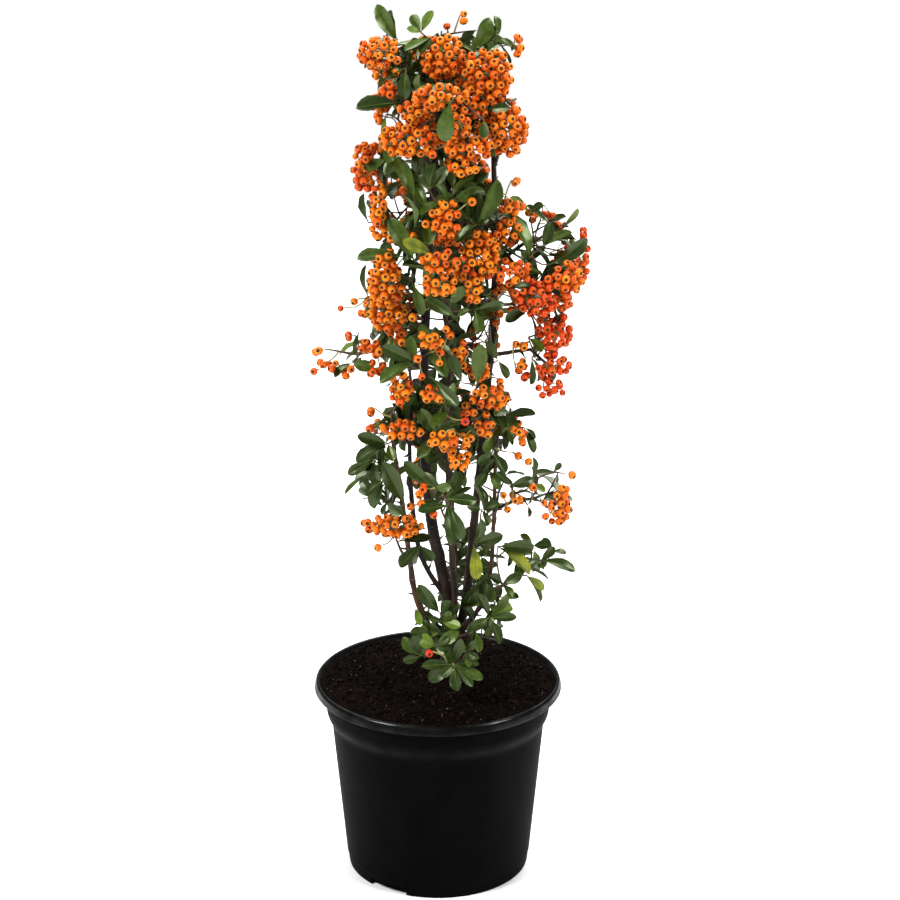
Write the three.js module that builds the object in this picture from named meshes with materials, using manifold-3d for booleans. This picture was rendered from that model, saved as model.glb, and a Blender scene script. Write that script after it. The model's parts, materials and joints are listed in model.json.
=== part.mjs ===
// A young firethorn shrub in its round nursery pot: several upright stems from one foot, short boughs,
// and sprays of leaves and berry trusses that grow on them by a seeded rule.
// Millimetres, +Z up. The origin is the middle of the pot's flat underside; -Y is the side with most fruit.
import * as THREE from "three";
import { mergeVertices } from "three/addons/utils/BufferGeometryUtils.js";
import Module from "manifold-3d";

const wasm = await Module();
wasm.setup();

// ---------------------------------------------------------------- driving dimensions

const SEED = 7001; // of the growth rule
const GAP = 0.3; // clearance between solids that touch
const POT = {
  height: 178,
  rimRadius: 110, // outer edge of the rolled rim
  rimDepth: 8.7, // height of the rim's outer band
  rimFlare: 2.5, // how much wider the band is at its foot than at its crest
  neckRadius: 100.3, // upright neck below the rim
  neckDepth: 21.8,
  shoulderDrop: 8, // height of the sloping step under the neck
  wallRadius: 94.8, // wall just below the step
  footRadius: 81.5,
  footHeight: 11, // the slightly narrower skirt at the bottom
  wall: 2,
  floor: 2.5,
  sides: 32,
  notches: 2, // drain slots in the skirt
  notchTurn: 0.59, // from -Y towards -X, of the first slot's middle
  notchWidth: 38,
  notchHeight: 7,
  notchDepth: 22, // how far in under the floor each slot runs
  holes: 6, // drain holes in the floor
  holeRadius: 4.5,
  holeCircle: 46,
};
const SOIL = { level: 175.2, crown: 1.2, rings: 3 };
const AXIS = { x: 6, y: 22 }; // the middle line of the crown
const LEAF = { length: 46, width: 20, widestAt: 0.6, thickness: 1.1, fold: 2.6, arch: 2.5, least: 0.55, perSpur: 4, rise: 0.5 };
const TRUSS = { radii: [19, 17, 15, 13, 11.5], hollow: 0.74, tries: 300, outward: 0.4 }; // a ball of twelve berries
const TWIG = { stemRadius: 2.7, tipRadius: 1.9, spurRadius: 0.95, endShare: 0.7, shortest: 9, sides: 3, stemSteps: 4 };
const ROOM = { step: 2, margin: 0.035, sprayShare: 0.7, sprayTries: 30, leafTries: 16, apart: 36 };

// Main stems and boughs: the route of the middle line, and the radius at its root and its tip.
// A limb with a parent starts inside that limb, at the given height of it.
const LIMBS = [
  { name: "trunk", root: 6.6, tip: 2.2, sides: 8, steps: 15, flare: 5,
    route: [[12, 30, 166], [11, 28, 212], [8, 26, 246], [-5, 24, 312], [-12, 21, 400], [-8, 19, 540], [0, 18, 672]] },
  { name: "stem_right", parent: "trunk", at: 184, root: 4.6, tip: 2,
    route: [[24, 33, 232], [31, 33, 300], [38, 30, 375], [45, 26, 460], [49, 22, 560], [47, 20, 650]] },
  { name: "stem_back", parent: "trunk", at: 190, root: 4.2, tip: 1.9,
    route: [[14, 45, 238], [12, 55, 305], [8, 58, 400], [10, 56, 500], [8, 53, 640]] },
  { name: "stem_left", parent: "trunk", at: 188, root: 3.2, tip: 1.8,
    route: [[-6, 20, 214], [-19, 15, 246], [-25, 12, 286], [-31, 8, 340], [-38, 2, 392]] },
  { name: "stem_middle", parent: "trunk", at: 196, root: 3, tip: 1.7,
    route: [[15, 19, 246], [12, 14, 300], [9, 4, 370], [10, -6, 440], [7, -12, 520]] },
  { name: "stem_inner", parent: "trunk", at: 240, root: 2.4, tip: 1.6,
    route: [[-9, 18, 272], [-17, 13, 296], [-23, 6, 350], [-24, -2, 400], [-22, -8, 446]] },
  { name: "stem_outer", parent: "trunk", at: 198, root: 2.4, tip: 1.6,
    route: [[32, 22, 226], [45, 18, 262], [49, 14, 320], [50, 8, 384]] },
  { name: "bough_left_spur", parent: "trunk", at: 458, root: 2, tip: 1.4, route: [[-36, 12, 470], [-56, 5, 477]] },
  { name: "bough_right_shoulder", parent: "stem_right", at: 545, root: 2.2, tip: 1.5, route: [[62, 17, 560], [74, 13, 570]] },
  { name: "bough_right_tail", parent: "stem_right", at: 468, root: 2, tip: 1.4, route: [[66, 15, 474], [80, 7, 478]] },
  { name: "bough_right_spray", parent: "stem_outer", at: 330, root: 1.9, tip: 1.3, route: [[62, 9, 338], [70, 5, 343]] },
  { name: "bough_right_low", parent: "trunk", at: 206, root: 2.4, tip: 1.5, route: [[30, 14, 228], [50, 8, 258]] },
];

// Masses of foliage: the middle and half sizes of each one's space, the limb and the height at which its stem
// leaves it, and how many berry trusses and leafy sprays it carries.
const MASSES = [
  { name: "foliage_tip_left", limb: "trunk", at: 664, middle: [-38, 12, 738], half: [32, 33, 38], trusses: 2, sprays: 2 },
  { name: "foliage_tip_middle", limb: "trunk", at: 672, middle: [3, 24, 737], half: [30, 34, 37], trusses: 2, sprays: 2 },
  { name: "foliage_tip_right", limb: "stem_right", at: 650, middle: [46, 15, 729], half: [33, 35, 38], trusses: 2, sprays: 2 },
  { name: "foliage_front_left", limb: "trunk", at: 634, middle: [-30, -4, 676], half: [40, 40, 43], trusses: 2, sprays: 2 },
  { name: "foliage_front_middle", limb: "trunk", at: 652, middle: [14, -22, 697], half: [36, 37, 52], trusses: 3, sprays: 1 },
  { name: "foliage_front_right", limb: "stem_right", at: 632, middle: [57, 2, 678], half: [32, 37, 44], trusses: 2, sprays: 1 },
  { name: "foliage_crown_back", limb: "stem_back", at: 640, middle: [6, 60, 694], half: [52, 38, 50], trusses: 2, sprays: 3 },
  { name: "foliage_left_column", limb: "trunk", at: 566, middle: [-46, 4, 606], half: [30, 36, 58], trusses: 3, sprays: 2 },
  { name: "foliage_heart_upper", limb: "trunk", at: 580, middle: [7, -26, 602], half: [40, 38, 41], trusses: 2, sprays: 2 },
  { name: "foliage_heart_right", limb: "stem_right", at: 578, middle: [56, 2, 592], half: [37, 37, 45], trusses: 2, sprays: 2 },
  { name: "foliage_back_upper", limb: "stem_back", at: 560, middle: [6, 64, 590], half: [54, 39, 52], trusses: 2, sprays: 3 },
  { name: "foliage_left_flank", limb: "trunk", at: 500, middle: [-46, 0, 521], half: [33, 38, 46], trusses: 2, sprays: 2 },
  { name: "foliage_left_spur", limb: "bough_left_spur", at: 477, middle: [-85, 2, 478], half: [34, 31, 33], trusses: 1, sprays: 1 },
  { name: "foliage_heart_lower", limb: "stem_middle", at: 520, middle: [2, -32, 546], half: [40, 37, 39], trusses: 2, sprays: 1 },
  { name: "foliage_right_shoulder", limb: "bough_right_shoulder", at: 570, middle: [94, 12, 579], half: [38, 35, 33], trusses: 0, sprays: 3 },
  { name: "foliage_right_bulge", limb: "stem_right", at: 512, middle: [95, 2, 533], half: [40, 44, 45], trusses: 4, sprays: 1 },
  { name: "foliage_right_tail", limb: "bough_right_tail", at: 478, middle: [99, 4, 464], half: [31, 33, 40], trusses: 2, sprays: 1 },
  { name: "foliage_middle_left", limb: "stem_inner", at: 446, middle: [-24, -22, 478], half: [42, 37, 37], trusses: 1, sprays: 2 },
  { name: "foliage_middle_right", limb: "stem_right", at: 474, middle: [44, -3, 500], half: [37, 38, 44], trusses: 1, sprays: 2 },
  { name: "foliage_back_middle", limb: "stem_back", at: 458, middle: [6, 66, 488], half: [56, 39, 54], trusses: 2, sprays: 3 },
  { name: "foliage_low_left", limb: "stem_left", at: 392, middle: [-39, -12, 420], half: [36, 38, 40], trusses: 2, sprays: 2 },
  { name: "foliage_low_middle", limb: "stem_middle", at: 396, middle: [8, -35, 424], half: [32, 35, 42], trusses: 2, sprays: 1 },
  { name: "foliage_low_right", limb: "stem_outer", at: 384, middle: [54, -2, 426], half: [37, 38, 43], trusses: 2, sprays: 2 },
  { name: "foliage_lower_left", limb: "stem_left", at: 326, middle: [-51, 6, 355], half: [34, 37, 40], trusses: 0, sprays: 3 },
  { name: "foliage_left_truss", limb: "stem_left", at: 282, middle: [-38, -22, 321], half: [37, 33, 27], trusses: 1, sprays: 2 },
  { name: "foliage_lower_front", limb: "stem_middle", at: 322, middle: [2, -38, 352], half: [31, 34, 46], trusses: 1, sprays: 2 },
  { name: "foliage_lower_right", limb: "stem_outer", at: 322, middle: [53, -2, 353], half: [29, 36, 43], trusses: 0, sprays: 3 },
  { name: "foliage_right_spray", limb: "bough_right_spray", at: 343, middle: [94, 2, 349], half: [36, 32, 33], trusses: 2, sprays: 1 },
  { name: "foliage_back_low", limb: "stem_back", at: 352, middle: [4, 68, 384], half: [52, 38, 50], trusses: 1, sprays: 3 },
  { name: "foliage_right_low", limb: "bough_right_low", at: 258, middle: [84, 4, 283], half: [42, 36, 34], trusses: 0, sprays: 4 },
  { name: "foliage_base_left", limb: "trunk", at: 192, middle: [-9, -20, 227], half: [30, 31, 35], trusses: 0, sprays: 3 },
  { name: "foliage_base_front", limb: "trunk", at: 184, middle: [18, -44, 206], half: [28, 30, 27], trusses: 0, sprays: 3 },
  { name: "foliage_base_right", limb: "trunk", at: 202, middle: [53, 2, 236], half: [27, 31, 37], trusses: 0, sprays: 3 },
  { name: "foliage_back_base", limb: "stem_back", at: 222, middle: [20, 72, 254], half: [36, 30, 37], trusses: 0, sprays: 3 },
];

const finish = (color, roughness) => new THREE.MeshStandardMaterial({ color, roughness, metalness: 0 });
const MATERIALS = {
  pot: finish("#17181a", 0.45),
  soil: finish("#1e120d", 0.95),
  bark: finish("#3a2a20", 0.8),
  foliage: finish("#4f6f2e", 0.5),
};

// ---------------------------------------------------------------- small tools

// A repeatable stream of numbers from 0 to 1.
function randomStream(seed) {
  let state = seed >>> 0;
  return () => {
    state = (state + 0x6d2b79f5) >>> 0;
    let mixed = Math.imul(state ^ (state >>> 15), state | 1);
    mixed ^= mixed + Math.imul(mixed ^ (mixed >>> 7), mixed | 61);
    return ((mixed ^ (mixed >>> 14)) >>> 0) / 4294967296;
  };
}

function solidOf(geometry) {
  const bare = geometry.clone();
  bare.deleteAttribute("normal");
  bare.deleteAttribute("uv");
  const merged = mergeVertices(bare, 1e-3);
  return new wasm.Manifold(
    new wasm.Mesh({
      numProp: 3,
      vertProperties: new Float32Array(merged.attributes.position.array),
      triVerts: new Uint32Array(merged.index.array),
    }),
  );
}

function geometryOf(solid) {
  const mesh = solid.getMesh();
  return new THREE.BufferGeometry()
    .setAttribute("position", new THREE.BufferAttribute(new Float32Array(mesh.vertProperties), 3))
    .setIndex(new THREE.BufferAttribute(new Uint32Array(mesh.triVerts), 1));
}

const vector = (xyz) => new THREE.Vector3(...xyz);
const largest = (solid) => solid.decompose().reduce((a, b) => (b.volume() > a.volume() ? b : a));

// A round tube bent from a cylinder along a curve. radiusAt takes the share of the length and the angle round it.
function taperedTube(curve, radiusAt, sides, steps) {
  const tube = new THREE.CylinderGeometry(1, 1, 1, sides, steps);
  const { normals, binormals } = curve.computeFrenetFrames(steps, false);
  const place = tube.attributes.position;
  const p = new THREE.Vector3();
  for (let i = 0; i < place.count; i += 1) {
    const share = place.getY(i) + 0.5;
    const [across, along] = [place.getX(i), place.getZ(i)];
    const frame = Math.round(share * steps);
    const radius = radiusAt(share, Math.atan2(along, across));
    p.copy(curve.getPointAt(share));
    p.addScaledVector(normals[frame], across * radius);
    p.addScaledVector(binormals[frame], -along * radius);
    place.setXYZ(i, p.x, p.y, p.z);
  }
  return solidOf(tube);
}

// The point of a curve that lies at a height, found along its length.
function pointAtHeight(curve, height) {
  const points = curve.getSpacedPoints(200);
  return points.reduce((a, b) => (Math.abs(b.z - height) < Math.abs(a.z - height) ? b : a));
}

function boxesMeet(a, b) {
  const [one, two] = [a.boundingBox(), b.boundingBox()];
  return [0, 1, 2].every((k) => one.min[k] <= two.max[k] && two.min[k] <= one.max[k]);
}

const touchesAny = (solid, others) =>
  others.some((other) => boxesMeet(solid, other) && !solid.intersect(other).isEmpty());

// ---------------------------------------------------------------- pot and soil

// A block over each drain slot, from a reach inside the foot outwards.
function slotBlocks(inward, outer, width, height) {
  return Array.from({ length: POT.notches }, (_, i) => {
    const turn = (i / POT.notches) * 2 * Math.PI - Math.PI / 2 - POT.notchTurn;
    const block = new THREE.BoxGeometry(inward + outer, width, 2 * height);
    return solidOf(block.translate(POT.footRadius + (outer - inward) / 2, 0, 0).rotateZ(turn));
  });
}

// The raised roofs of the slots inside the pot, grown by a little all round.
function slotRoofs(grow) {
  const roofs = slotBlocks(POT.notchDepth + POT.wall + grow, -4, POT.notchWidth + 2 * (POT.wall + grow),
    POT.notchHeight + POT.wall + grow);
  return roofs.map((roof) => roof.trimByPlane([0, 0, 1], 0));
}

function potSolid() {
  const crest = POT.rimRadius - POT.rimFlare;
  const neckFoot = POT.height - POT.rimDepth - POT.neckDepth;
  const stepFoot = neckFoot - POT.shoulderDrop;
  const inner = (radius) => radius - POT.wall;
  const profile = [
    [0, 0],
    [POT.footRadius - 1, 0],
    [POT.footRadius, 1],
    [POT.footRadius + 0.5, POT.footHeight],
    [POT.footRadius + 1.2, POT.footHeight + 1.5],
    [POT.wallRadius, stepFoot],
    [POT.neckRadius - 1.2, neckFoot],
    [POT.neckRadius, POT.height - POT.rimDepth],
    [POT.rimRadius, POT.height - POT.rimDepth],
    [crest, POT.height - 0.8],
    [crest - 1.5, POT.height],
    [inner(POT.neckRadius), POT.height - POT.rimDepth],
    [inner(POT.neckRadius) - 1.2, neckFoot],
    [inner(POT.wallRadius), stepFoot],
    [inner(POT.footRadius), POT.floor],
    [0, POT.floor],
  ];
  const lathe = new THREE.LatheGeometry(profile.map(([r, z]) => new THREE.Vector2(r, z)), POT.sides);
  let pot = solidOf(lathe.rotateX(Math.PI / 2));
  for (const roof of slotRoofs(0)) pot = pot.add(roof);
  for (const slot of slotBlocks(POT.notchDepth, 6, POT.notchWidth, POT.notchHeight)) pot = pot.subtract(slot);
  for (let i = 0; i < POT.holes; i += 1) {
    const hole = new THREE.CylinderGeometry(POT.holeRadius, POT.holeRadius, 4 * POT.floor, 8);
    hole.rotateX(Math.PI / 2).translate(POT.holeCircle, 0, 0).rotateZ((i / POT.holes) * 2 * Math.PI);
    pot = pot.subtract(solidOf(hole));
  }
  return pot;
}

// The root ball fills the pot to just under the rim's crest, with a low dome on top.
function soilSolid() {
  const rimFoot = POT.height - POT.rimDepth;
  const neckFoot = rimFoot - POT.neckDepth;
  const stepFoot = neckFoot - POT.shoulderDrop;
  const inner = (radius) => radius - POT.wall - GAP;
  const crestInner = POT.rimRadius - POT.rimFlare - 1.5;
  const edge = THREE.MathUtils.mapLinear(SOIL.level, rimFoot, POT.height, inner(POT.neckRadius), crestInner - 1.5 * GAP);
  const top = Array.from({ length: SOIL.rings }, (_, i) => {
    const share = 1 - (i + 1) / SOIL.rings;
    return [share * edge, SOIL.level + SOIL.crown * (1 - share * share)];
  });
  const profile = [
    [0, POT.floor + GAP],
    [inner(POT.footRadius), POT.floor + GAP],
    [inner(POT.wallRadius), stepFoot],
    [inner(POT.neckRadius - 1.2), neckFoot + GAP],
    [inner(POT.neckRadius), rimFoot],
    [edge, SOIL.level],
    ...top,
  ];
  const lathe = new THREE.LatheGeometry(profile.map(([r, z]) => new THREE.Vector2(r, z)), POT.sides / 2);
  let soil = solidOf(lathe.rotateX(Math.PI / 2));
  for (const roof of slotRoofs(GAP)) soil = soil.subtract(roof);
  return soil;
}

// ---------------------------------------------------------------- limbs

const soilTop = SOIL.level + SOIL.crown;

function limbCurve(limb, curves) {
  const start = limb.parent ? [pointAtHeight(curves.get(limb.parent), limb.at)] : [];
  return new THREE.CatmullRomCurve3([...start, ...limb.route.map(vector)], false, "centripetal");
}

// The radius narrows from root to tip, and the trunk's foot spreads in a few low ridges.
function limbRadius(limb, curve, grow) {
  const length = curve.getLength();
  return (share, angle) => {
    const taper = THREE.MathUtils.lerp(limb.root, limb.tip, Math.pow(share, 0.8));
    const spread = (limb.flare ?? 0) * Math.exp((-share * length) / 12) * (0.8 + 0.35 * Math.cos(4 * angle));
    return taper + spread + grow;
  };
}

function growLimbs() {
  const curves = new Map();
  const solids = new Map();
  const keepClear = new Map();
  for (const limb of LIMBS) {
    const curve = limbCurve(limb, curves);
    const steps = limb.steps ?? Math.max(3, Math.round(curve.getLength() / 38));
    const sides = limb.sides ?? 5;
    let solid = taperedTube(curve, limbRadius(limb, curve, 0), sides, steps);
    for (const other of keepClear.values()) solid = solid.subtract(other);
    solid = largest(solid).trimByPlane([0, 0, 1], soilTop + GAP);
    curves.set(limb.name, curve);
    solids.set(limb.name, solid);
    keepClear.set(limb.name, taperedTube(curve, limbRadius(limb, curve, GAP), sides, steps));
  }
  return { curves, solids, keepClear };
}

// ---------------------------------------------------------------- foliage

// How deep a point is in a mass's own space: 0 at its middle, 1 at its edge.
function depth(mass, p) {
  const [x, y, z] = mass.middle;
  const [a, b, c] = mass.half;
  return Math.hypot((p.x - x) / a, (p.y - y) / b, (p.z - z) / c);
}

// A point is a mass's own where it lies inside that mass, and further inside it than inside any other.
function owns(mass, p) {
  const own = depth(mass, p);
  return own < 1 && MASSES.every((other) => other === mass || own + ROOM.margin < depth(other, p));
}

// How far a straight shoot can go from a point before it leaves the mass's space.
function roomAlong(mass, from, direction, most) {
  let reach = 0;
  const p = from.clone();
  while (reach < most && owns(mass, p.addScaledVector(direction, ROOM.step))) reach += ROOM.step;
  return reach;
}

// The way a leaf at a point turns its face: away from the shrub's middle line and up.
function outward(p) {
  const away = new THREE.Vector3(p.x - AXIS.x, p.y - AXIS.y, 0).normalize();
  return away.setZ(LEAF.rise);
}

// A blade of 8 faces: an octahedron drawn out along its stalk, widest past the middle and folded at the midrib.
function leafSolid(base, direction, face, length, width) {
  const blade = new THREE.OctahedronGeometry(1);
  const side = new THREE.Vector3().crossVectors(direction, face).normalize();
  const up = new THREE.Vector3().crossVectors(side, direction).normalize();
  const place = blade.attributes.position;
  const p = new THREE.Vector3();
  for (let i = 0; i < place.count; i += 1) {
    const [across, along, rise] = [place.getX(i), place.getY(i), place.getZ(i)];
    const share = Math.abs(across) > 0.5 ? LEAF.widestAt : (along + 1) / 2;
    const height = (rise * LEAF.thickness) / 2 + Math.abs(across) * LEAF.fold - share * share * LEAF.arch;
    p.copy(base).addScaledVector(direction, share * length);
    p.addScaledVector(side, (across * width) / 2).addScaledVector(up, height);
    place.setXYZ(i, p.x, p.y, p.z);
  }
  const solid = solidOf(blade);
  return { solid, corners: cornersOf(solid) };
}

// A ball of twelve berries: an icosahedron whose corners stand out and whose edges are drawn in between them.
function trussSolid(middle, radius, turn) {
  const ball = new THREE.IcosahedronGeometry(1, 1);
  const corners = new THREE.IcosahedronGeometry(1, 0).attributes.position;
  const place = ball.attributes.position;
  const [p, corner] = [new THREE.Vector3(), new THREE.Vector3()];
  for (let i = 0; i < place.count; i += 1) {
    p.fromBufferAttribute(place, i);
    let nearest = 2;
    for (let k = 0; k < corners.count; k += 1) nearest = Math.min(nearest, p.distanceTo(corner.fromBufferAttribute(corners, k)));
    p.multiplyScalar(nearest < 0.1 ? radius : TRUSS.hollow * radius).applyAxisAngle(new THREE.Vector3(0, 0, 1), turn);
    place.setXYZ(i, p.x + middle.x, p.y + middle.y, p.z + middle.z);
  }
  const solid = solidOf(ball);
  return { solid, corners: cornersOf(solid) };
}

function cornersOf(solid) {
  const points = solid.getMesh().vertProperties;
  return Array.from({ length: points.length / 3 }, (_, i) => new THREE.Vector3().fromArray(points, 3 * i));
}

// A three-sided spike from one point to another, with the directions that its three sides face.
function twigOf(from, to, radius) {
  const spike = new THREE.CylinderGeometry(TWIG.endShare * radius, radius, from.distanceTo(to), TWIG.sides);
  const direction = to.clone().sub(from).normalize();
  const turn = new THREE.Quaternion().setFromUnitVectors(new THREE.Vector3(0, 1, 0), direction);
  spike.applyQuaternion(turn);
  spike.translate((from.x + to.x) / 2, (from.y + to.y) / 2, (from.z + to.z) / 2);
  const faces = [1, 3, 5].map((k) => new THREE.Vector3(Math.sin((k * Math.PI) / 3), 0, Math.cos((k * Math.PI) / 3)));
  return { from, to, direction, solid: solidOf(spike), faces: faces.map((face) => face.applyQuaternion(turn)) };
}

// The mass's own stem: from its limb to the far side of its space, through its middle.
function stemCurve(mass, curves) {
  const root = pointAtHeight(curves.get(mass.limb), mass.at);
  const middle = vector(mass.middle);
  const onward = middle.clone().sub(root).setZ(Math.max(6, 0.6 * (middle.z - root.z))).normalize();
  const far = roomAlong(mass, middle, onward, mass.half[2]);
  const tip = middle.clone().addScaledVector(onward, Math.max(4, far - 8));
  const bow = root.clone().lerp(middle, 0.5).add(new THREE.Vector3(0, 0, -0.08 * root.distanceTo(middle)));
  return new THREE.CatmullRomCurve3([root, bow, middle, tip], false, "centripetal");
}

const stemRadius = (grow) => (share) => THREE.MathUtils.lerp(TWIG.stemRadius, TWIG.tipRadius, share) + grow;

// A stalk and the largest ball of berries that its own space holds, as far out from the stem as it finds room.
function growTruss(mass, own, random, standing) {
  let best = null;
  for (let tries = 0; tries < TRUSS.tries; tries += 1) {
    const radius = TRUSS.radii[Math.floor((tries / TRUSS.tries) * TRUSS.radii.length)];
    if (best && radius < best.radius) break;
    const middle = pointIn(mass, 1, random);
    const ball = trussSolid(middle, radius, 2 * Math.PI * random());
    if (!ball.corners.every((p) => owns(mass, p)) || touchesAny(ball.solid, [...standing, own.solid])) continue;
    const at = own.first + (0.95 - own.first) * random();
    const from = own.curve.getPointAt(at);
    const out = depth(mass, middle) + TRUSS.outward * (Math.hypot(middle.x, middle.y) / 100);
    const stalk = twigOf(from, middle.clone().lerp(from, (0.45 * radius) / middle.distanceTo(from)), TWIG.spurRadius);
    if ((best && out < best.out) || touchesAny(stalk.solid, standing)) continue;
    best = { out, radius, parts: [stalk.solid, ball.solid] };
  }
  return best?.parts ?? [];
}

// A point in a mass's space, no further from its middle than a share of its half sizes.
function pointIn(mass, share, random) {
  const spread = new THREE.Vector3(random(), random(), random()).multiplyScalar(2).subScalar(1);
  return spread.multiplyScalar(share).multiply(vector(mass.half)).add(vector(mass.middle));
}

// A spur to a free place in the mass's space, with leaves: one goes on from its end and the others stand on its
// three sides in turn, each as long as its room allows. The place with most leaves, far from other sprays, is kept.
function growSpray(mass, own, ends, random, standing) {
  let best = { score: 0, parts: [] };
  for (let tries = 0; tries < ROOM.sprayTries; tries += 1) {
    const to = pointIn(mass, ROOM.sprayShare, random);
    const from = own.curve.getPointAt(own.first + (0.95 - own.first) * random());
    if (!owns(mass, to) || from.distanceTo(to) < TWIG.shortest) continue;
    const spur = twigOf(from, to, TWIG.spurRadius);
    if (touchesAny(spur.solid, standing)) continue;
    const leaves = growLeaves(mass, spur, random, [...standing, own.solid]);
    const apart = Math.min(ROOM.apart, ...ends.map((end) => end.distanceTo(to)));
    const score = leaves.length + 3 * (apart / ROOM.apart);
    if (leaves.length && score > best.score) best = { score, end: to, parts: [spur.solid, ...leaves] };
  }
  if (best.end) ends.push(best.end);
  return best.parts;
}

function growLeaves(mass, spur, random, standing) {
  const leaves = [];
  const phase = Math.floor(3 * random());
  for (let i = 0; i < ROOM.leafTries && leaves.length < LEAF.perSpur; i += 1) {
    const root = spur.from.clone().lerp(spur.to, 0.95 - (0.7 * leaves.length) / LEAF.perSpur);
    const along = spur.direction.clone();
    if (i) {
      along.multiplyScalar(0.2 + 0.8 * random()).add(spur.faces[(i + phase) % 3]);
      along.applyAxisAngle(spur.direction, 0.7 * (random() - 0.5)).normalize();
    }
    const length = Math.min(LEAF.length * (0.85 + 0.3 * random()), roomAlong(mass, root, along, 60));
    if (length < LEAF.least * LEAF.length) continue;
    const { solid, corners } = leafSolid(root, along, outward(root), length, (LEAF.width * length) / LEAF.length);
    const inside = corners.every((p) => owns(mass, p) || p.distanceTo(root) < 4);
    if (inside && !touchesAny(solid, [...standing, ...leaves])) leaves.push(solid);
  }
  return leaves;
}

function growParts(mass, own, clear, random) {
  const parts = [];
  for (let i = 0; i < mass.trusses; i += 1) parts.push(...growTruss(mass, own, random, [...clear, ...parts]));
  const ends = [];
  for (let i = 0; i < mass.sprays; i += 1) parts.push(...growSpray(mass, own, ends, random, [...clear, ...parts]));
  return parts;
}

// True where no two corners lie so close together that they would count as one.
function isSound(solid) {
  const corners = cornersOf(solid).map((p) => p.toArray().map((value) => value.toFixed(3)).join());
  return new Set(corners).size === corners.length;
}

// The mass as one body. A result with a flawed join is grown again from the next seed.
function growMass(mass, index, stems, limbs) {
  const own = stems.get(mass.name);
  const others = [...stems].filter(([name]) => name !== mass.name).map(([, stem]) => stem.keepClear);
  const clear = [...limbs.keepClear.values(), ...others];
  for (let seed = SEED + index; ; seed += MASSES.length) {
    const parts = growParts(mass, own, clear, randomStream(seed));
    const whole = largest(wasm.Manifold.union([own.solid, ...parts]));
    if (isSound(whole)) return whole;
  }
}

// Every stem is cut clear of the limbs and of the stems before it. first is where it enters its mass.
function growStems(limbs) {
  const stems = new Map();
  for (const mass of MASSES) {
    const curve = stemCurve(mass, limbs.curves);
    let solid = taperedTube(curve, stemRadius(0), TWIG.sides, TWIG.stemSteps);
    for (const other of limbs.keepClear.values()) solid = solid.subtract(other);
    for (const other of stems.values()) solid = solid.subtract(other.keepClear);
    const first = Array.from({ length: 41 }, (_, i) => i / 40).find((t) => owns(mass, curve.getPointAt(t)));
    stems.set(mass.name, {
      curve,
      first: Math.min(0.8, (first ?? 0.4) + 0.1),
      solid: largest(solid),
      keepClear: taperedTube(curve, stemRadius(2 * GAP), TWIG.sides, TWIG.stemSteps),
    });
  }
  return stems;
}

// ---------------------------------------------------------------- the shrub

const shrub = new THREE.Group();
shrub.name = "firethorn_in_pot";

function addNode(name, solid, material) {
  const mesh = new THREE.Mesh(geometryOf(solid), material);
  mesh.name = name;
  shrub.add(mesh);
}

addNode("pot", potSolid(), MATERIALS.pot);
addNode("soil", soilSolid(), MATERIALS.soil);
const limbs = growLimbs();
limbs.solids.forEach((solid, name) => addNode(name, solid, MATERIALS.bark));
const stems = growStems(limbs);
MASSES.forEach((mass, index) => addNode(mass.name, growMass(mass, index, stems, limbs), MATERIALS.foliage));

export default shrub;
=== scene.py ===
"""Firethorn shrub in a five litre nursery pot: bark, leaves, berries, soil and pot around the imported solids.

The tables give places and sizes in millimetres, and the meshes are in metres in the same frame.
"""

import json
import logging
import math
from dataclasses import dataclass, field
from enum import Enum

import bmesh
import bpy
import numpy as np
from mathutils import Matrix, Quaternion, Vector, noise

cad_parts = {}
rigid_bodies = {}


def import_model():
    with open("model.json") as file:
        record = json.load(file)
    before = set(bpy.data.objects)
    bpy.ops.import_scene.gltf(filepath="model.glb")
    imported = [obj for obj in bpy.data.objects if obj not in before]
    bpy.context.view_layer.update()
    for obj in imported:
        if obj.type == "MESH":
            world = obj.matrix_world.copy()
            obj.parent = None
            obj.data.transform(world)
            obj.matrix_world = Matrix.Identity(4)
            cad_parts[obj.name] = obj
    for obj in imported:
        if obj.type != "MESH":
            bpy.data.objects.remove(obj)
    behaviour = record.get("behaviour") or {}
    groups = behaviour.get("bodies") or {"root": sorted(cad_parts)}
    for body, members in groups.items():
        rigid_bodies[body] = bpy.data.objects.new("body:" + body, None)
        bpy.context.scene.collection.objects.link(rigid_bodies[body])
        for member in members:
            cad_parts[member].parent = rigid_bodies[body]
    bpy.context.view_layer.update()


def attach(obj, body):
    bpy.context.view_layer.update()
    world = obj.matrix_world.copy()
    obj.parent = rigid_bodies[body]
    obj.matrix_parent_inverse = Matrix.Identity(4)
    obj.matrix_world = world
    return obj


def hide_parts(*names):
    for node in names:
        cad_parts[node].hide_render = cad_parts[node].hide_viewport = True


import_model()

MM = 0.001
SEED = 7001
UP = Vector((0, 0, 1))
AXIS = Vector((6, 22, 0))
SOIL_LEVEL = 175.2
SOIL_CROWN = 1.2

log = logging.getLogger("firethorn")

Triple = tuple[float, float, float]
Pair = tuple[float, float]
Piece = bpy.types.Object
Tree = bpy.types.NodeTree
Socket = bpy.types.NodeSocket
Outputs = bpy.types.bpy_prop_collection


class LeafTint(Enum):
    """The green of one spray of leaves."""

    DARK = 0
    MID = 1
    YOUNG = 2
    GOLDEN = 3


class BerryTint(Enum):
    """The ripeness of one berry, from orange to scarlet."""

    ORANGE = 0
    AMBER = 1
    DEEP = 2
    RED = 3
    SCARLET = 4


class Wood(Enum):
    """What a twig is covered in."""

    BARK = 0
    GREEN = 1


@dataclass(frozen=True)
class LimbPlan:
    """A trunk, stem or bough: where it leaves its parent, its radii and the route of its middle line."""

    name: str
    parent: str
    at: float
    root: float
    tip: float
    route: tuple[Triple, ...]
    flare: float = 0.0


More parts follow.
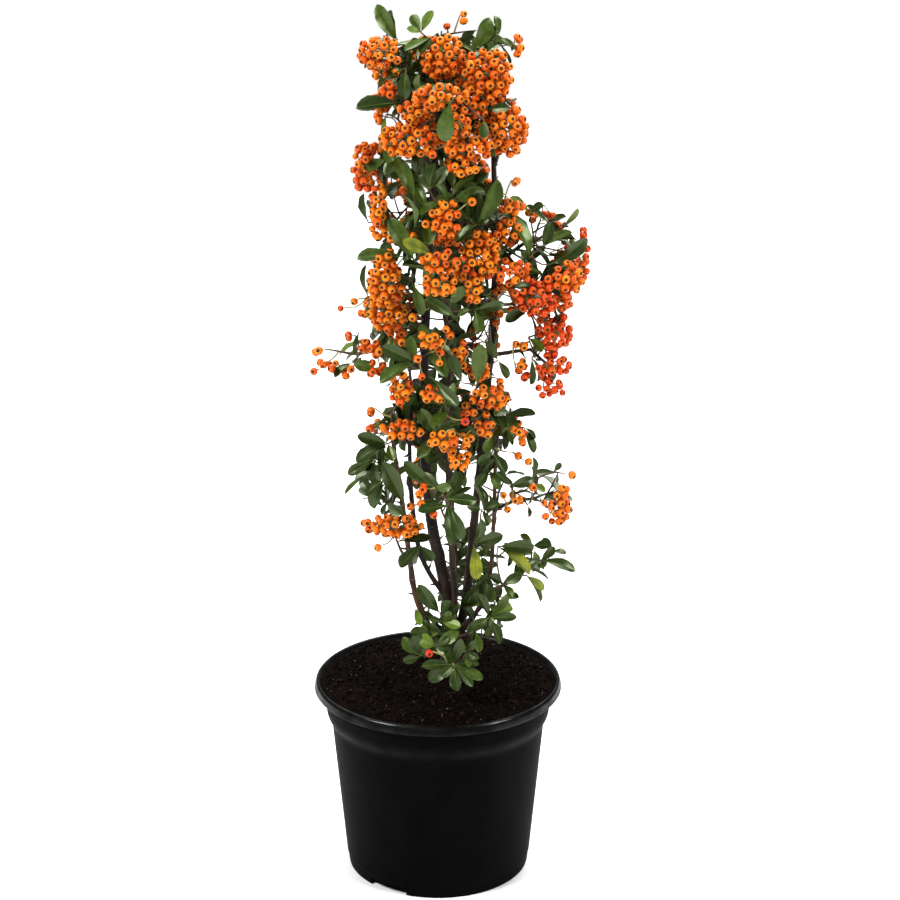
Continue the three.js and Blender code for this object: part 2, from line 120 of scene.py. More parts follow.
@dataclass(frozen=True)
class MassPlan:
    """The space of one mass of foliage, the limb height that it grows from and how leafy it is."""

    name: str
    limb: str
    at: float
    middle: Triple
    half: Triple
    cover: float = 1.0

    @property
    def behind(self) -> bool:
        """Whether it lies behind the limbs, where no outline is given."""
        return self.middle[1] > 50

    @property
    def volume(self) -> float:
        """Its volume in cubic millimetres."""
        return 4 / 3 * math.pi * self.half[0] * self.half[1] * self.half[2]

    def depth(self, point: Vector) -> float:
        """How deep a point lies in its space: 0 in the middle, 1 on the edge."""
        return math.sqrt(sum(((point[k] - self.middle[k]) / self.half[k]) ** 2 for k in range(3)))

    def place(self, way: Vector, reach: float) -> Vector:
        """The point at a share of the distance from its middle to its edge."""
        return Vector([self.middle[k] + way[k] * self.half[k] * reach for k in range(3)])


D, M, Y, G = LeafTint
O, A, P, R, S = BerryTint

LIMBS = tuple(LimbPlan(*row) for row in (
    ("trunk", "", 0, 6.6, 2.2, ((12, 30, 166), (11, 28, 212), (8, 26, 246), (-5, 24, 312),
             (-12, 21, 400), (-8, 19, 540), (0, 18, 672)), 5.0),
    ("stem_right", "trunk", 184, 4.6, 2, ((24, 33, 232), (31, 33, 300), (38, 30, 375),
             (45, 26, 460), (49, 22, 560), (47, 20, 650))),
    ("stem_back", "trunk", 190, 4.2, 1.9, ((14, 45, 238), (12, 55, 305), (8, 58, 400),
             (10, 56, 500), (8, 53, 640))),
    ("stem_left", "trunk", 188, 3.2, 1.8, ((-6, 20, 214), (-19, 15, 246), (-25, 12, 286),
             (-31, 8, 340), (-38, 2, 392))),
    ("stem_middle", "trunk", 196, 3, 1.7, ((15, 19, 246), (12, 14, 300), (9, 4, 370),
             (10, -6, 440), (7, -12, 520))),
    ("stem_inner", "trunk", 240, 2.4, 1.6, ((-9, 18, 272), (-17, 13, 296), (-23, 6, 350),
             (-24, -2, 400), (-22, -8, 446))),
    ("stem_outer", "trunk", 198, 2.4, 1.6, ((32, 22, 226), (45, 18, 262), (49, 14, 320),
             (50, 8, 384))),
    ("bough_left_spur", "trunk", 458, 2, 1.4, ((-36, 12, 470), (-56, 5, 477))),
    ("bough_right_shoulder", "stem_right", 545, 2.2, 1.5, ((62, 17, 560), (74, 13, 570))),
    ("bough_right_tail", "stem_right", 468, 2, 1.4, ((66, 15, 474), (80, 7, 478))),
    ("bough_right_spray", "stem_outer", 330, 1.9, 1.3, ((62, 9, 338), (70, 5, 343))),
    ("bough_right_low", "trunk", 206, 2.4, 1.5, ((30, 14, 228), (50, 8, 258))),
))

MASSES = tuple(MassPlan("foliage_" + name, *rest) for name, *rest in (
    ("tip_left", "trunk", 664, (-38, 12, 738), (32, 33, 38), 0.60),
    ("tip_middle", "trunk", 672, (3, 24, 737), (30, 34, 37), 0.60),
    ("tip_right", "stem_right", 650, (46, 15, 729), (33, 35, 38), 0.60),
    ("front_left", "trunk", 634, (-30, -4, 676), (40, 40, 43), 0.80),
    ("front_middle", "trunk", 652, (14, -22, 697), (36, 37, 52), 0.75),
    ("front_right", "stem_right", 632, (57, 2, 678), (32, 37, 44), 0.75),
    ("crown_back", "stem_back", 640, (6, 60, 694), (52, 38, 50), 1.20),
    ("left_column", "trunk", 566, (-46, 4, 606), (30, 36, 58), 0.45),
    ("heart_upper", "trunk", 580, (7, -26, 602), (40, 38, 41), 0.60),
    ("heart_right", "stem_right", 578, (56, 2, 592), (37, 37, 45), 0.70),
    ("back_upper", "stem_back", 560, (6, 64, 590), (54, 39, 52), 1.20),
    ("left_flank", "trunk", 500, (-46, 0, 521), (33, 38, 46), 0.50),
    ("left_spur", "bough_left_spur", 477, (-85, 2, 478), (34, 31, 33), 0.30),
    ("heart_lower", "stem_middle", 520, (2, -32, 546), (40, 37, 39), 0.50),
    ("right_shoulder", "bough_right_shoulder", 570, (94, 12, 579), (38, 35, 33), 0.60),
    ("right_bulge", "stem_right", 512, (95, 2, 533), (40, 44, 45), 0.45),
    ("right_tail", "bough_right_tail", 478, (99, 4, 464), (31, 33, 40), 0.30),
    ("middle_left", "stem_inner", 446, (-24, -22, 478), (42, 37, 37), 0.65),
    ("middle_right", "stem_right", 474, (44, -3, 500), (37, 38, 44), 0.55),
    ("back_middle", "stem_back", 458, (6, 66, 488), (56, 39, 54), 1.20),
    ("low_left", "stem_left", 392, (-39, -12, 420), (36, 38, 40), 0.90),
    ("low_middle", "stem_middle", 396, (8, -35, 424), (32, 35, 42), 0.70),
    ("low_right", "stem_outer", 384, (54, -2, 426), (37, 38, 43), 0.80),
    ("lower_left", "stem_left", 326, (-51, 6, 355), (34, 37, 40), 0.90),
    ("left_truss", "stem_left", 282, (-38, -22, 321), (37, 33, 27), 0.60),
    ("lower_front", "stem_middle", 322, (2, -38, 352), (31, 34, 46), 0.80),
    ("lower_right", "stem_outer", 322, (53, -2, 353), (29, 36, 43), 1.00),
    ("right_spray", "bough_right_spray", 343, (94, 2, 349), (36, 32, 33), 0.35),
    ("back_low", "stem_back", 352, (4, 68, 384), (52, 38, 50), 1.20),
    ("right_low", "bough_right_low", 258, (84, 4, 283), (42, 36, 34), 0.45),
    ("base_left", "trunk", 192, (-9, -20, 227), (30, 31, 35), 0.70),
    ("base_front", "trunk", 184, (18, -44, 206), (28, 30, 27), 0.70),
    ("base_right", "trunk", 202, (53, 2, 236), (27, 31, 37), 0.90),
    ("back_base", "stem_back", 222, (20, 72, 254), (36, 30, 37), 1.00),
))

# The trusses that have their places, by mass: middle, half width, half height, berries and tint.
TRUSSES = {
    "tip_left": ((-46, -8, 733, 20, 15, 26), (-38, -4, 719, 9, 8, 10)),
    "tip_middle": ((5, -8, 730, 20, 20, 38), (22, 8, 761, 4, 7, 2, A), (8, 6, 753, 2, 2, 1, A)),
    "tip_right": ((42, -15, 715, 22, 25, 60), (65, 5, 738, 7, 10, 9), (24, 0, 712, 12, 17, 24)),
    "front_left": (
        (-38, -12, 702, 10, 10, 10, P), (-19, -30, 688, 15, 10, 18), (-23, -35, 667, 25, 15, 48),
        (-11, -16, 677, 13, 10, 20),
    ),
    "front_middle": (
        (3, -45, 704, 24, 12, 32), (18, -48, 683, 10, 15, 19), (27, -45, 663, 22, 12, 38),
        (21, -50, 647, 13, 8, 14, A), (-4, -46, 660, 4, 6, 3, P), (31, -20, 691, 13, 10, 20),
        (9, -20, 664, 12, 8, 14), (10, -30, 645, 7, 7, 8),
    ),
    "front_right": (
        (58, -25, 673, 17, 23, 36), (47, -14, 681, 10, 10, 16), (39, -8, 670, 10, 12, 16),
        (27, -24, 727, 7, 10, 12),
    ),
    "left_column": (
        (-60, -10, 639, 12, 22, 30, P), (-45, -18, 622, 6, 8, 8, A), (-48, -22, 604, 10, 25, 38, A),
        (-37, -28, 586, 7, 10, 10, A), (-21, -34, 587, 7, 4, 4, A), (-33, -12, 585, 7, 12, 10, A),
    ),
    "heart_upper": (
        (7, -52, 605, 14, 19, 34), (29, -48, 620, 2, 2, 1), (-8, -50, 600, 2, 2, 1),
        (10, -38, 585, 15, 8, 18), (6, -46, 602, 8, 10, 10),
    ),
    "heart_right": (
        (65, -10, 627, 4, 3, 2, A), (61, -16, 608, 13, 8, 13), (61, -18, 587, 14, 13, 22),
        (35, -32, 569, 19, 23, 58, A), (61, -32, 556, 20, 12, 24, P), (25, -34, 579, 12, 10, 18, A),
        (50, -20, 587, 7, 8, 8),
    ),
    "left_flank": (
        (-42, -30, 549, 17, 27, 66, A), (-42, -26, 519, 18, 17, 42, A), (-69, -12, 527, 3, 6, 5),
        (-80, -4, 517, 5, 3, 3, P), (-29, -24, 497, 8, 8, 6, P), (-32, -16, 529, 6, 15, 12, A),
        (-38, -14, 503, 10, 8, 12, A),
    ),
    "left_spur": (
        (-74, -6, 493, 5, 4, 4, P), (-102, -10, 481, 6, 7, 3, A), (-98, -10, 471, 6, 4, 3, P),
        (-105, -10, 464, 3, 3, 2, A), (-77, -14, 465, 9, 7, 7, P), (-53, -18, 485, 9, 8, 9, P),
        (-53, -18, 468, 8, 8, 6, P), (-88, -8, 467, 10, 6, 8, P), (-61, -10, 486, 7, 8, 8, P),
        (-47, -12, 466, 7, 7, 6, P),
    ),
    "heart_lower": (
        (3, -58, 571, 18, 11, 24), (3, -60, 553, 16, 11, 22, A), (30, -50, 544, 9, 12, 9, A),
        (-17, -44, 521, 6, 4, 3, A), (21, -40, 560, 10, 12, 16, A), (-7, -54, 548, 8, 7, 8, A),
    ),
    "right_shoulder": ((123, 0, 563, 7, 24, 26, R),),
    "right_bulge": (
        (84, -28, 532, 20, 17, 40, R), (106, -24, 548, 19, 16, 38, P), (100, -15, 497, 15, 14, 28, R),
        (78, -20, 524, 8, 10, 12, R), (94, -4, 502, 15, 12, 24, R), (94, -6, 481, 10, 10, 14, R),
        (108, -20, 541, 11, 11, 18, P), (108, -16, 526, 10, 8, 12, P), (68, -30, 534, 7, 7, 9, R),
    ),
    "right_tail": (
        (98, -12, 469, 18, 9, 12, R), (96, -12, 449, 16, 9, 12, R), (69, -10, 487, 9, 6, 4, A),
        (71, -8, 468, 8, 7, 5, A), (92, -6, 462, 10, 9, 12, R), (74, -8, 462, 7, 7, 6, R),
        (105, -8, 505, 8, 10, 12, R), (106, -12, 469, 8, 8, 8, A), (73, -14, 488, 4, 3, 3, A),
    ),
    "middle_left": (
        (-6, -58, 504, 13, 8, 13, A), (3, -48, 492, 3, 3, 2, A), (-17, -52, 487, 2, 2, 1, A),
        (3, -50, 484, 7, 2, 2, A), (-13, -50, 471, 2, 2, 1, A), (9, -40, 507, 7, 6, 5, A),
    ),
    "middle_right": (
        (19, -35, 490, 7, 11, 9, A), (36, -34, 472, 10, 11, 12), (53, -30, 462, 2, 2, 1, P),
        (24, -30, 474, 7, 7, 5, A),
    ),
    "low_left": (
        (-30, -42, 459, 12, 17, 32, A), (-56, -20, 432, 4, 7, 4, A), (-56, -20, 417, 6, 4, 3, P),
        (-29, -44, 423, 20, 10, 26),
    ),
    "low_middle": (
        (-3, -58, 459, 12, 10, 12, A), (5, -60, 419, 14, 10, 20, A), (24, -66, 437, 2, 2, 1, S),
        (23, -55, 415, 6, 6, 6, A), (18, -56, 398, 10, 8, 8, A), (10, -44, 407, 10, 8, 10, A),
    ),
    "low_right": (
        (44, -32, 448, 18, 13, 36), (41, -34, 422, 10, 13, 20), (71, -20, 409, 6, 9, 7),
        (64, -18, 414, 3, 3, 2), (68, -20, 393, 4, 5, 4), (77, -20, 386, 3, 3, 2, P),
        (26, -34, 436, 8, 7, 7, A), (25, -36, 413, 7, 5, 4, A), (24, -44, 403, 7, 7, 6, A),
    ),
    "left_truss": (
        (-35, -38, 334, 24, 12, 44), (-61, -30, 332, 7, 7, 8), (-22, -34, 349, 7, 5, 6),
        (-48, -40, 316, 6, 4, 5), (-15, -44, 361, 6, 7, 5),
    ),
    "lower_front": ((-14, -55, 373, 7, 9, 5, P), (-4, -62, 353, 2, 2, 1, P), (-14, -50, 376, 8, 8, 5, P)),
    "right_spray": (
        (68, -18, 351, 7, 3, 4), (61, -16, 342, 2, 2, 1, A), (82, -15, 362, 2, 2, 1),
        (114, -10, 370, 7, 7, 9, A), (107, -14, 357, 9, 7, 11, A), (101, -14, 340, 16, 14, 24),
        (57, -18, 356, 3, 3, 2),
    ),
    "base_front": ((-7, -66, 228, 2, 2, 1, S),),
}

# The sprays that have their places, by mass: the twig's end, then each leaf's tip, tint and breadth.
SPRAYS = {
    "tip_left": (
        ((-32, -2, 741), (-48, -8, 770, M, 1), (-40, 4, 765, D, 0.9)),
    ),
    "tip_middle": (
        ((-13, 0, 749), (-5, -4, 766, Y, 0.8), (-22, -6, 754, Y, 0.7), (-20, 6, 762, M, 0.9)),
        ((-4, -4, 746), (-26, -14, 739, M, 1), (7, 4, 746, D, 0.9), (-13, -16, 736, D, 0.8)),
        ((32, 4, 750), (21, 0, 745, D, 0.8)),
    ),
    "tip_right": (
        ((30, -6, 735), (44, -10, 758, M, 1.4), (49, 2, 753, D, 0.9)),
        ((50, 8, 744), (49, 6, 761, M, 0.9), (61, 2, 739, M, 0.8)),
    ),
    "front_left": (
        ((-25, -14, 722), (-28, -22, 700, D, 1.2), (-54, -10, 715, D, 1)),
        ((-25, -12, 694), (-65, -16, 693, D, 0.9)),
        ((-42, -8, 683), (-45, -12, 663, Y, 0.8)),
    ),
    "front_middle": (
        ((11, -60, 704), (5, -68, 674, M, 1.2)),
        ((38, -52, 687), (38, -60, 675, D, 0.9)),
    ),
    "front_right": (
        ((41, -22, 690), (57, -30, 693, D, 0.9)),
    ),
    "left_column": (
        ((-41, -16, 648), (-59, -20, 641, M, 1.1), (-42, -26, 636, D, 0.9)),
        ((-29, -20, 650), (-40, -30, 640, D, 0.9)),
        ((-18, -34, 616), (-30, -36, 651, M, 0.9)),
        ((-58, 2, 590), (-64, 0, 613, D, 0.9)),
        ((-18, -36, 565), (-36, -42, 600, M, 0.95)),
    ),
    "heart_upper": (
        ((-6, -40, 627), (7, -46, 646, D, 1), (-4, -44, 648, D, 1), (-14, -42, 638, D, 1)),
        ((-3, -48, 575), (-25, -54, 587, G, 1.1)),
    ),
    "heart_right": (
        ((32, -26, 592), (52, -34, 630, M, 0.95), (34, -30, 620, D, 0.9)),
    ),
    "left_flank": (
        ((-27, -32, 569), (-65, -30, 570, M, 0.85)),
        ((-59, 0, 527), (-66, 0, 550, D, 1)),
        ((-21, -34, 548), (-12, -44, 525, M, 0.9)),
    ),
    "left_spur": (
        ((-67, -6, 497), (-72, -10, 477, D, 0.9)),
        ((-72, -12, 472), (-56, -22, 471, M, 1.1), (-88, -14, 462, D, 0.9)),
    ),
    "heart_lower": (
        ((16, -54, 523), (-7, -60, 539, D, 1), (25, -58, 531, M, 1)),
        ((10, -50, 532), (21, -56, 548, M, 1)),
        ((31, -44, 527), (36, -52, 511, M, 1.2), (54, -48, 532, D, 0.9)),
    ),
    "right_shoulder": (
        ((77, -22, 565), (73, -28, 602, M, 1.15)),
        ((77, -6, 600), (63, -10, 615, Y, 0.8), (87, -4, 608, D, 0.8)),
        ((93, -16, 558), (124, -22, 576, D, 1)),
        ((104, 2, 585), (118, -2, 601, Y, 1.1), (111, -12, 592, M, 0.9)),
        ((94, 2, 589), (77, -2, 606, D, 0.9), (106, 0, 597, D, 0.9), (86, 8, 596, D, 0.9)),
        ((88, -8, 571), (95, -12, 591, D, 1), (109, -14, 587, M, 0.9)),
    ),
    "right_bulge": (
        ((78, -12, 521), (58, -18, 511, D, 1)),
    ),
    "right_tail": (
        ((77, -8, 493), (89, -14, 484, Y, 0.9)),
    ),
    "middle_left": (
        ((-17, -44, 482), (-44, -52, 496, D, 1.1), (-47, -52, 470, M, 1), (-23, -46, 503, M, 1)),
        ((-5, -42, 490), (-13, -46, 513, M, 1), (-1, -48, 511, D, 1)),
    ),
    "middle_right": (
        ((33, -40, 460), (36, -48, 495, M, 1)),
        ((21, -42, 463), (12, -46, 487, D, 1)),
        ((51, -16, 475), (61, -20, 462, D, 0.8), (44, -20, 490, D, 0.9)),
    ),
    # The low and base sprays mostly carry the dark green D, which paints the shade that falls on the lower
    # leaves.
    "low_left": (
        ((-42, -22, 403), (-65, -30, 412, D, 1.1), (-69, -30, 394, D, 1.1), (-38, -34, 393, M, 1)),
    ),
    "low_middle": (
        ((-5, -58, 473), (16, -68, 453, D, 0.85)),
    ),
    "low_right": (
        ((56, -6, 422), (82, -10, 428, D, 0.9)),
        ((74, -8, 413), (85, -12, 407, D, 1), (84, -14, 393, D, 1)),
        ((46, -28, 413), (41, -36, 401, M, 1), (56, -34, 419, D, 1)),
        ((47, -24, 396), (58, -32, 382, D, 1), (37, -34, 390, D, 1)),
    ),
    "lower_left": (
        ((-54, -14, 385), (-76, -20, 376, D, 1), (-54, -24, 367, D, 1.1)),
        ((-61, -8, 371), (-80, -14, 357, M, 1)),
        ((-46, -24, 371), (-58, -32, 350, D, 1.2), (-61, -28, 361, D, 1)),
        ((-28, -38, 354), (-44, -48, 391, D, 1.05)),
    ),
    "left_truss": (
        ((-44, -26, 351), (-33, -40, 346, D, 1), (-49, -30, 343, D, 1)),
        ((-15, -26, 312), (-33, -32, 296, D, 1.15), (-23, -24, 295, D, 1), (-4, -30, 300, D, 1)),
    ),
    "lower_front": (
        ((-2, -48, 372), (-25, -56, 393, D, 1), (9, -58, 376, M, 0.9)),
        ((8, -60, 366), (28, -70, 370, D, 1.1)),
        ((10, -60, 361), (22, -72, 336, D, 0.95), (-15, -66, 359, D, 0.9)),
    ),
    "lower_right": (
        ((44, -22, 379), (53, -32, 368, M, 1), (35, -34, 371, D, 1)),
        ((31, -24, 313), (34, -34, 284, G, 1), (54, -34, 323, D, 1.1), (42, -38, 328, D, 1.1)),
        ((38, -22, 343), (50, -30, 352, D, 1), (29, -32, 350, D, 1.1), (45, -30, 334, D, 0.9)),
    ),
    "right_spray": (
        ((62, -14, 362), (79, -20, 368, D, 1), (53, -18, 374, D, 0.9)),
        ((81, -8, 362), (85, -10, 384, D, 0.7), (92, -16, 359, Y, 0.9)),
        ((78, -10, 343), (83, -16, 355, D, 0.9), (80, -14, 334, D, 1)),
        ((100, -6, 372), (106, -8, 380, D, 1)),
    ),
    "right_low": (
        ((56, -10, 270), (70, -16, 279, D, 1), (66, -18, 262, M, 0.9), (48, -20, 281, D, 1)),
        ((90, -4, 290), (119, -12, 288, D, 1), (101, -6, 301, D, 0.9), (79, -14, 289, D, 0.9)),
        ((52, -18, 308), (80, -28, 291, G, 1), (83, -20, 308, D, 1.05)),
        ((100, 0, 296), (112, 0, 297, D, 0.8), (94, 2, 308, D, 0.9)),
        ((83, 2, 301), (75, 2, 312, M, 0.9), (96, -6, 305, D, 0.9)),
        ((78, -8, 277), (93, -14, 267, G, 1), (94, -6, 253, D, 0.6)),
    ),
    "base_left": (
        ((12, -22, 238), (3, -30, 244, M, 1), (10, -30, 250, D, 1), (17, -36, 234, D, 1),
         (5, -34, 237, D, 1)),
        ((-8, -34, 231), (-13, -42, 240, Y, 1), (-2, -42, 237, Y, 0.9), (-10, -46, 227, D, 1),
         (-18, -40, 229, M, 1)),
        ((2, -20, 246), (-14, -30, 270, D, 1.1), (9, -26, 259, D, 1)),
        ((4, -30, 242), (15, -34, 250, D, 1.1), (18, -40, 243, Y, 0.9), (9, -36, 252, M, 1),
         (16, -38, 235, D, 1), (-6, -34, 247, D, 1)),
        ((-6, -38, 236), (-21, -44, 240, D, 1.1), (-12, -38, 246, D, 1), (-16, -50, 238, D, 1.1),
         (-5, -44, 245, D, 1)),
        ((-2, -48, 227), (-14, -56, 233, Y, 1), (-13, -50, 238, Y, 0.9), (15, -54, 241, M, 1.1),
         (5, -56, 224, D, 1), (11, -56, 226, D, 1), (8, -52, 236, D, 1)),
        ((-15, -42, 215), (-21, -46, 234, D, 1.1), (-30, -42, 230, M, 1.1), (-28, -48, 213, D, 1),
         (-10, -46, 223, D, 1)),
    ),
    "base_front": (
        ((25, -52, 223), (32, -58, 233, D, 1), (18, -60, 233, M, 1), (33, -62, 222, D, 1.1),
         (27, -64, 216, M, 1)),
        ((14, -58, 214), (-11, -66, 218, D, 0.95), (4, -68, 208, D, 1.2), (-7, -64, 203, D, 1.2),
         (16, -72, 197, D, 1.05), (30, -70, 200, D, 0.8), (38, -66, 205, M, 0.95), (34, -62, 218, D, 0.95),
         (20, -66, 239, D, 0.95), (10, -66, 228, D, 1.1)),
    ),
    "base_right": (
        ((43, -6, 270), (29, -16, 252, Y, 1.15), (48, -18, 258, M, 1), (38, -22, 265, D, 1)),
        ((56, -4, 255), (65, -10, 245, Y, 1), (68, -12, 261, D, 0.9)),
        ((33, -14, 237), (26, -22, 251, D, 1), (27, -26, 231, M, 1), (43, -26, 239, D, 1)),
        ((42, -14, 281), (26, -22, 251, D, 1.2), (44, -26, 261, D, 1.1)),
        ((45, -22, 243), (38, -30, 266, D, 0.9), (60, -32, 265, M, 1), (67, -30, 247, D, 0.9),
         (55, -36, 227, D, 1), (32, -34, 239, D, 1), (65, -14, 250, Y, 0.8)),
        ((33, -20, 230), (37, -30, 215, Y, 0.8), (28, -26, 215, D, 1.1)),
    ),
}

# The crown's left and right reach by height, where lines from EYE cross the upright plane y = 0.
EYE = Vector((10.7, -2000, 1054))
REACH = (
    (750, -40, 50), (742, -58, 66), (727, -62, 66), (713, -56, 62), (700, -46, 62), (694, -60, 68),
    (684, -60, 72), (670, -50, 74), (660, -50, 70), (652, -64, 62), (642, -68, 50), (628, -68, 46),
    (612, -60, 62), (603, -60, 75), (596, -58, 105), (586, -56, 112), (576, -52, 122),
    (560, -60, 124), (545, -60, 124), (530, -60, 122), (520, -68, 116), (510, -72, 110),
    (495, -74, 112), (486, -90, 106), (470, -96, 106), (458, -90, 108), (449, -44, 100),
    (440, -44, 66), (430, -46, 66), (420, -58, 76), (405, -62, 80), (390, -66, 82), (378, -70, 84),
    (370, -72, 108), (350, -72, 112), (340, -58, 108), (330, -50, 60), (315, -46, 58), (303, -42, 80),
    (290, -34, 108), (278, -28, 104), (262, -22, 84), (245, -22, 64), (225, -24, 58), (205, -26, 48),
    (190, -16, 36), (170, -2, 28),
)

# Openings through the crown on the same plane: middle, half width and half height.
OPENINGS = (
    (-28, 758, 5, 15), (1, 767, 5, 8), (15, 764, 4, 12), (35, 769, 8, 7), (-58, 704, 8, 8),
    (-38, 675, 6, 8), (-37, 628, 3, 3), (-33, 603, 6, 8), (-7, 618, 3, 4), (78, 586, 4, 4),
    (93, 582, 4, 7), (100, 570, 5, 4), (89, 555, 5, 3), (-15, 539, 3, 10), (48, 544, 3, 4),
    (-2, 508, 8, 10), (23, 508, 3, 11), (39, 498, 5, 13), (57, 524, 4, 6), (65, 497, 13, 14),
    (64, 474, 14, 5), (64, 456, 14, 9), (72, 441, 10, 10), (-65, 499, 4, 9), (-87, 480, 10, 4),
    (-88, 469, 5, 3), (-92, 460, 6, 5), (-53, 440, 8, 9), (-26, 387, 6, 9), (-39, 393, 3, 7),
    (22, 388, 3, 4), (3, 368, 3, 10), (32, 361, 3, 16), (62, 385, 5, 10), (57, 353, 4, 9),
    (72, 324, 21, 12), (94, 316, 9, 19), (9, 300, 3, 16), (-1, 279, 4, 25), (-15, 265, 6, 26),
    (-37, 292, 8, 11), (-43, 270, 12, 26), (-35, 236, 11, 12), (53, 275, 5, 7), (65, 258, 7, 8),
    (94, 274, 11, 4), (29, 240, 4, 4), (78, 364, 5, 4), (93, 358, 5, 5),
)


class RandomStream:
    """Numbers from 0 to 1 that are the same on every run, by the rule that the solids use."""

    def __init__(self, seed: int) -> None:
        """Start the stream.

        Args:
            seed: a whole number.
        """
        self.state = seed & 0xFFFFFFFF

    def draw(self) -> float:
        """The next number from 0 to 1."""
        self.state = (self.state + 0x6D2B79F5) & 0xFFFFFFFF
        mixed = ((self.state ^ (self.state >> 15)) * (self.state | 1)) & 0xFFFFFFFF
        mixed ^= (mixed + ((mixed ^ (mixed >> 7)) * (mixed | 61))) & 0xFFFFFFFF
        return ((mixed ^ (mixed >> 14)) & 0xFFFFFFFF) / 4294967296

    def between(self, low: float, high: float) -> float:
        """The next number from low to high."""
        return low + (high - low) * self.draw()

    def direction(self) -> Vector:
        """The next direction, even over the whole sphere."""
        height = self.between(-1, 1)
        turn = self.between(0, math.tau)
        flat = math.sqrt(1 - height * height)
        return Vector((flat * math.cos(turn), flat * math.sin(turn), height))


class Route:
    """A smooth line through a few points, as a centripetal Catmull-Rom curve."""

    samples = 240

    def __init__(self, points: list[Vector]) -> None:
        """Measure the line.

        Args:
            points: the points that it passes through, in millimetres.
        """
        ends = [points[0] * 2 - points[1], *points, points[-1] * 2 - points[-2]]
        line = []
        for k in range(self.samples + 1):
            place = k / self.samples * (len(points) - 1)
            span = min(int(place), len(points) - 2)
            line.append(self.bend(ends[span:span + 4], place - span))
        self.line = np.array([tuple(p) for p in line])
        steps = np.linalg.norm(np.diff(self.line, axis=0), axis=1)
        self.lengths = np.concatenate([[0], np.cumsum(steps)])
        self.length = float(self.lengths[-1])

    @staticmethod
    def bend(four: list[Vector], share: float) -> Vector:
        """A point between the middle two of four points.

        Args:
            four: the points before, at the start, at the end and after.
            share: how far along, from 0 to 1.

        Returns:
            The point on the curve.
        """
        before, start, end, after = four
        first = max((start - before).length ** 0.5, 1e-4)
        middle = max((end - start).length ** 0.5, 1e-4)
        last = max((after - end).length ** 0.5, 1e-4)
        leave = (start - before) / first - (end - before) / (first + middle) + (end - start) / middle
        reach = (end - start) / middle - (after - start) / (middle + last) + (after - end) / last
        leave *= middle
        reach *= middle
        square, cube = share ** 2, share ** 3
        return (
            start * (2 * cube - 3 * square + 1)
            + leave * (cube - 2 * square + share)
            + end * (3 * square - 2 * cube)
            + reach * (cube - square)
        )

    def at(self, share: float) -> Vector:
        """The point at a share of the line's length."""
        length = share * self.length
        return Vector([float(np.interp(length, self.lengths, self.line[:, k])) for k in range(3)])

    def at_height(self, height: float) -> Vector:
        """The point where the line is nearest to a height."""
        nearest = int(np.argmin(np.abs(self.line[:, 2] - height)))
        return self.at(float(self.lengths[nearest] / self.length))


def across(direction: Vector, hint: Vector = UP) -> Vector:
    """A direction at right angles to another, as near a hint as can be.

    Args:
        direction: the direction to be square to.
        hint: the direction that is wanted.

    Returns:
        A unit vector.
    """
    axis = direction.normalized()
    side = hint - axis * hint.dot(axis)
    if side.length < 1e-4:
        side = axis.orthogonal()
    return side.normalized()


def outward(point: Vector, lift: float = 0.5) -> Vector:
    """The direction away from the plant's upright axis, lifted a little.

    Args:
        point: a place in millimetres.
        lift: the rise that goes with one step outward.

    Returns:
        A unit vector.
    """
    away = Vector((point.x - AXIS.x, point.y - AXIS.y, 0))
    if away.length < 1e-3:
        away = Vector((0, -1, 0))
    away.normalize()
    away.z = lift
    return away.normalized()


class Thicket:
    """Balls that fill the crown so far, found by the cell of space that they are in."""

    cell = 10.0

    def __init__(self) -> None:
        """Start with empty space."""
        self.cells: dict[tuple[int, int, int], list[tuple[float, float, float, float]]] = {}

    def key(self, point: Vector) -> tuple[int, int, int]:
        """The cell that holds a point."""
        return (int(point.x // self.cell), int(point.y // self.cell), int(point.z // self.cell))

    def put(self, point: Vector, radius: float) -> None:
        """Fill a ball of space."""
        self.cells.setdefault(self.key(point), []).append((point.x, point.y, point.z, radius))

    def is_free(self, point: Vector, radius: float) -> bool:
        """Whether a ball of space is empty.

        Args:
            point: the middle of the ball in millimetres.
            radius: its radius.

        Returns:
            True if no ball put there before comes into it.
        """
        i, j, k = self.key(point)
        for a in (i - 1, i, i + 1):
            for b in (j - 1, j, j + 1):
                for c in (k - 1, k, k + 1):
                    for x, y, z, filled in self.cells.get((a, b, c), ()):
                        apart = (x - point.x) ** 2 + (y - point.y) ** 2 + (z - point.z) ** 2
                        if apart < (filled + radius) ** 2:
                            return False
        return True


class Sight:
    """The crown's outline and openings as they look from EYE, and what has to stay in view from there."""

    def __init__(self) -> None:
        """Sort the outline by height."""
        rows = sorted(REACH)
        self.heights = [row[0] for row in rows]
        self.lefts = [row[1] for row in rows]
        self.rights = [row[2] for row in rows]
        self.clear = Thicket()

    def keep_in_view(self, point: Vector, radius: float, reach: float = 32.0) -> None:
        """Keep the line of sight to a point free of what grows later.

        Args:
            point: the place in millimetres.
            radius: how wide the free line is.
            reach: how far in front of the point it is kept free.
        """
        toward = (EYE - point).normalized()
        for k in range(1, int(reach / 5) + 1):
            self.clear.put(point + toward * 5 * k, radius)

    def allows(self, point: Vector, radius: float) -> bool:
        """Whether a ball lies inside the outline, off the openings and out of the lines kept free.

        Args:
            point: its middle in millimetres.
            radius: its radius.

        Returns:
            True if it does.
        """
        share = -EYE.y / (point.y - EYE.y)
        x = EYE.x + (point.x - EYE.x) * share
        z = EYE.z + (point.z - EYE.z) * share
        if z + radius > self.heights[-1]:
            return False
        if x - radius < np.interp(z, self.heights, self.lefts):
            return False
        if x + radius > np.interp(z, self.heights, self.rights):
            return False
        for middle, height, wide, high in OPENINGS:
            if ((x - middle) / (wide + radius * 0.5)) ** 2 + ((z - height) / (high + radius * 0.5)) ** 2 < 1:
                return False
        return self.clear.is_free(point, radius)


# ---- meshes ----


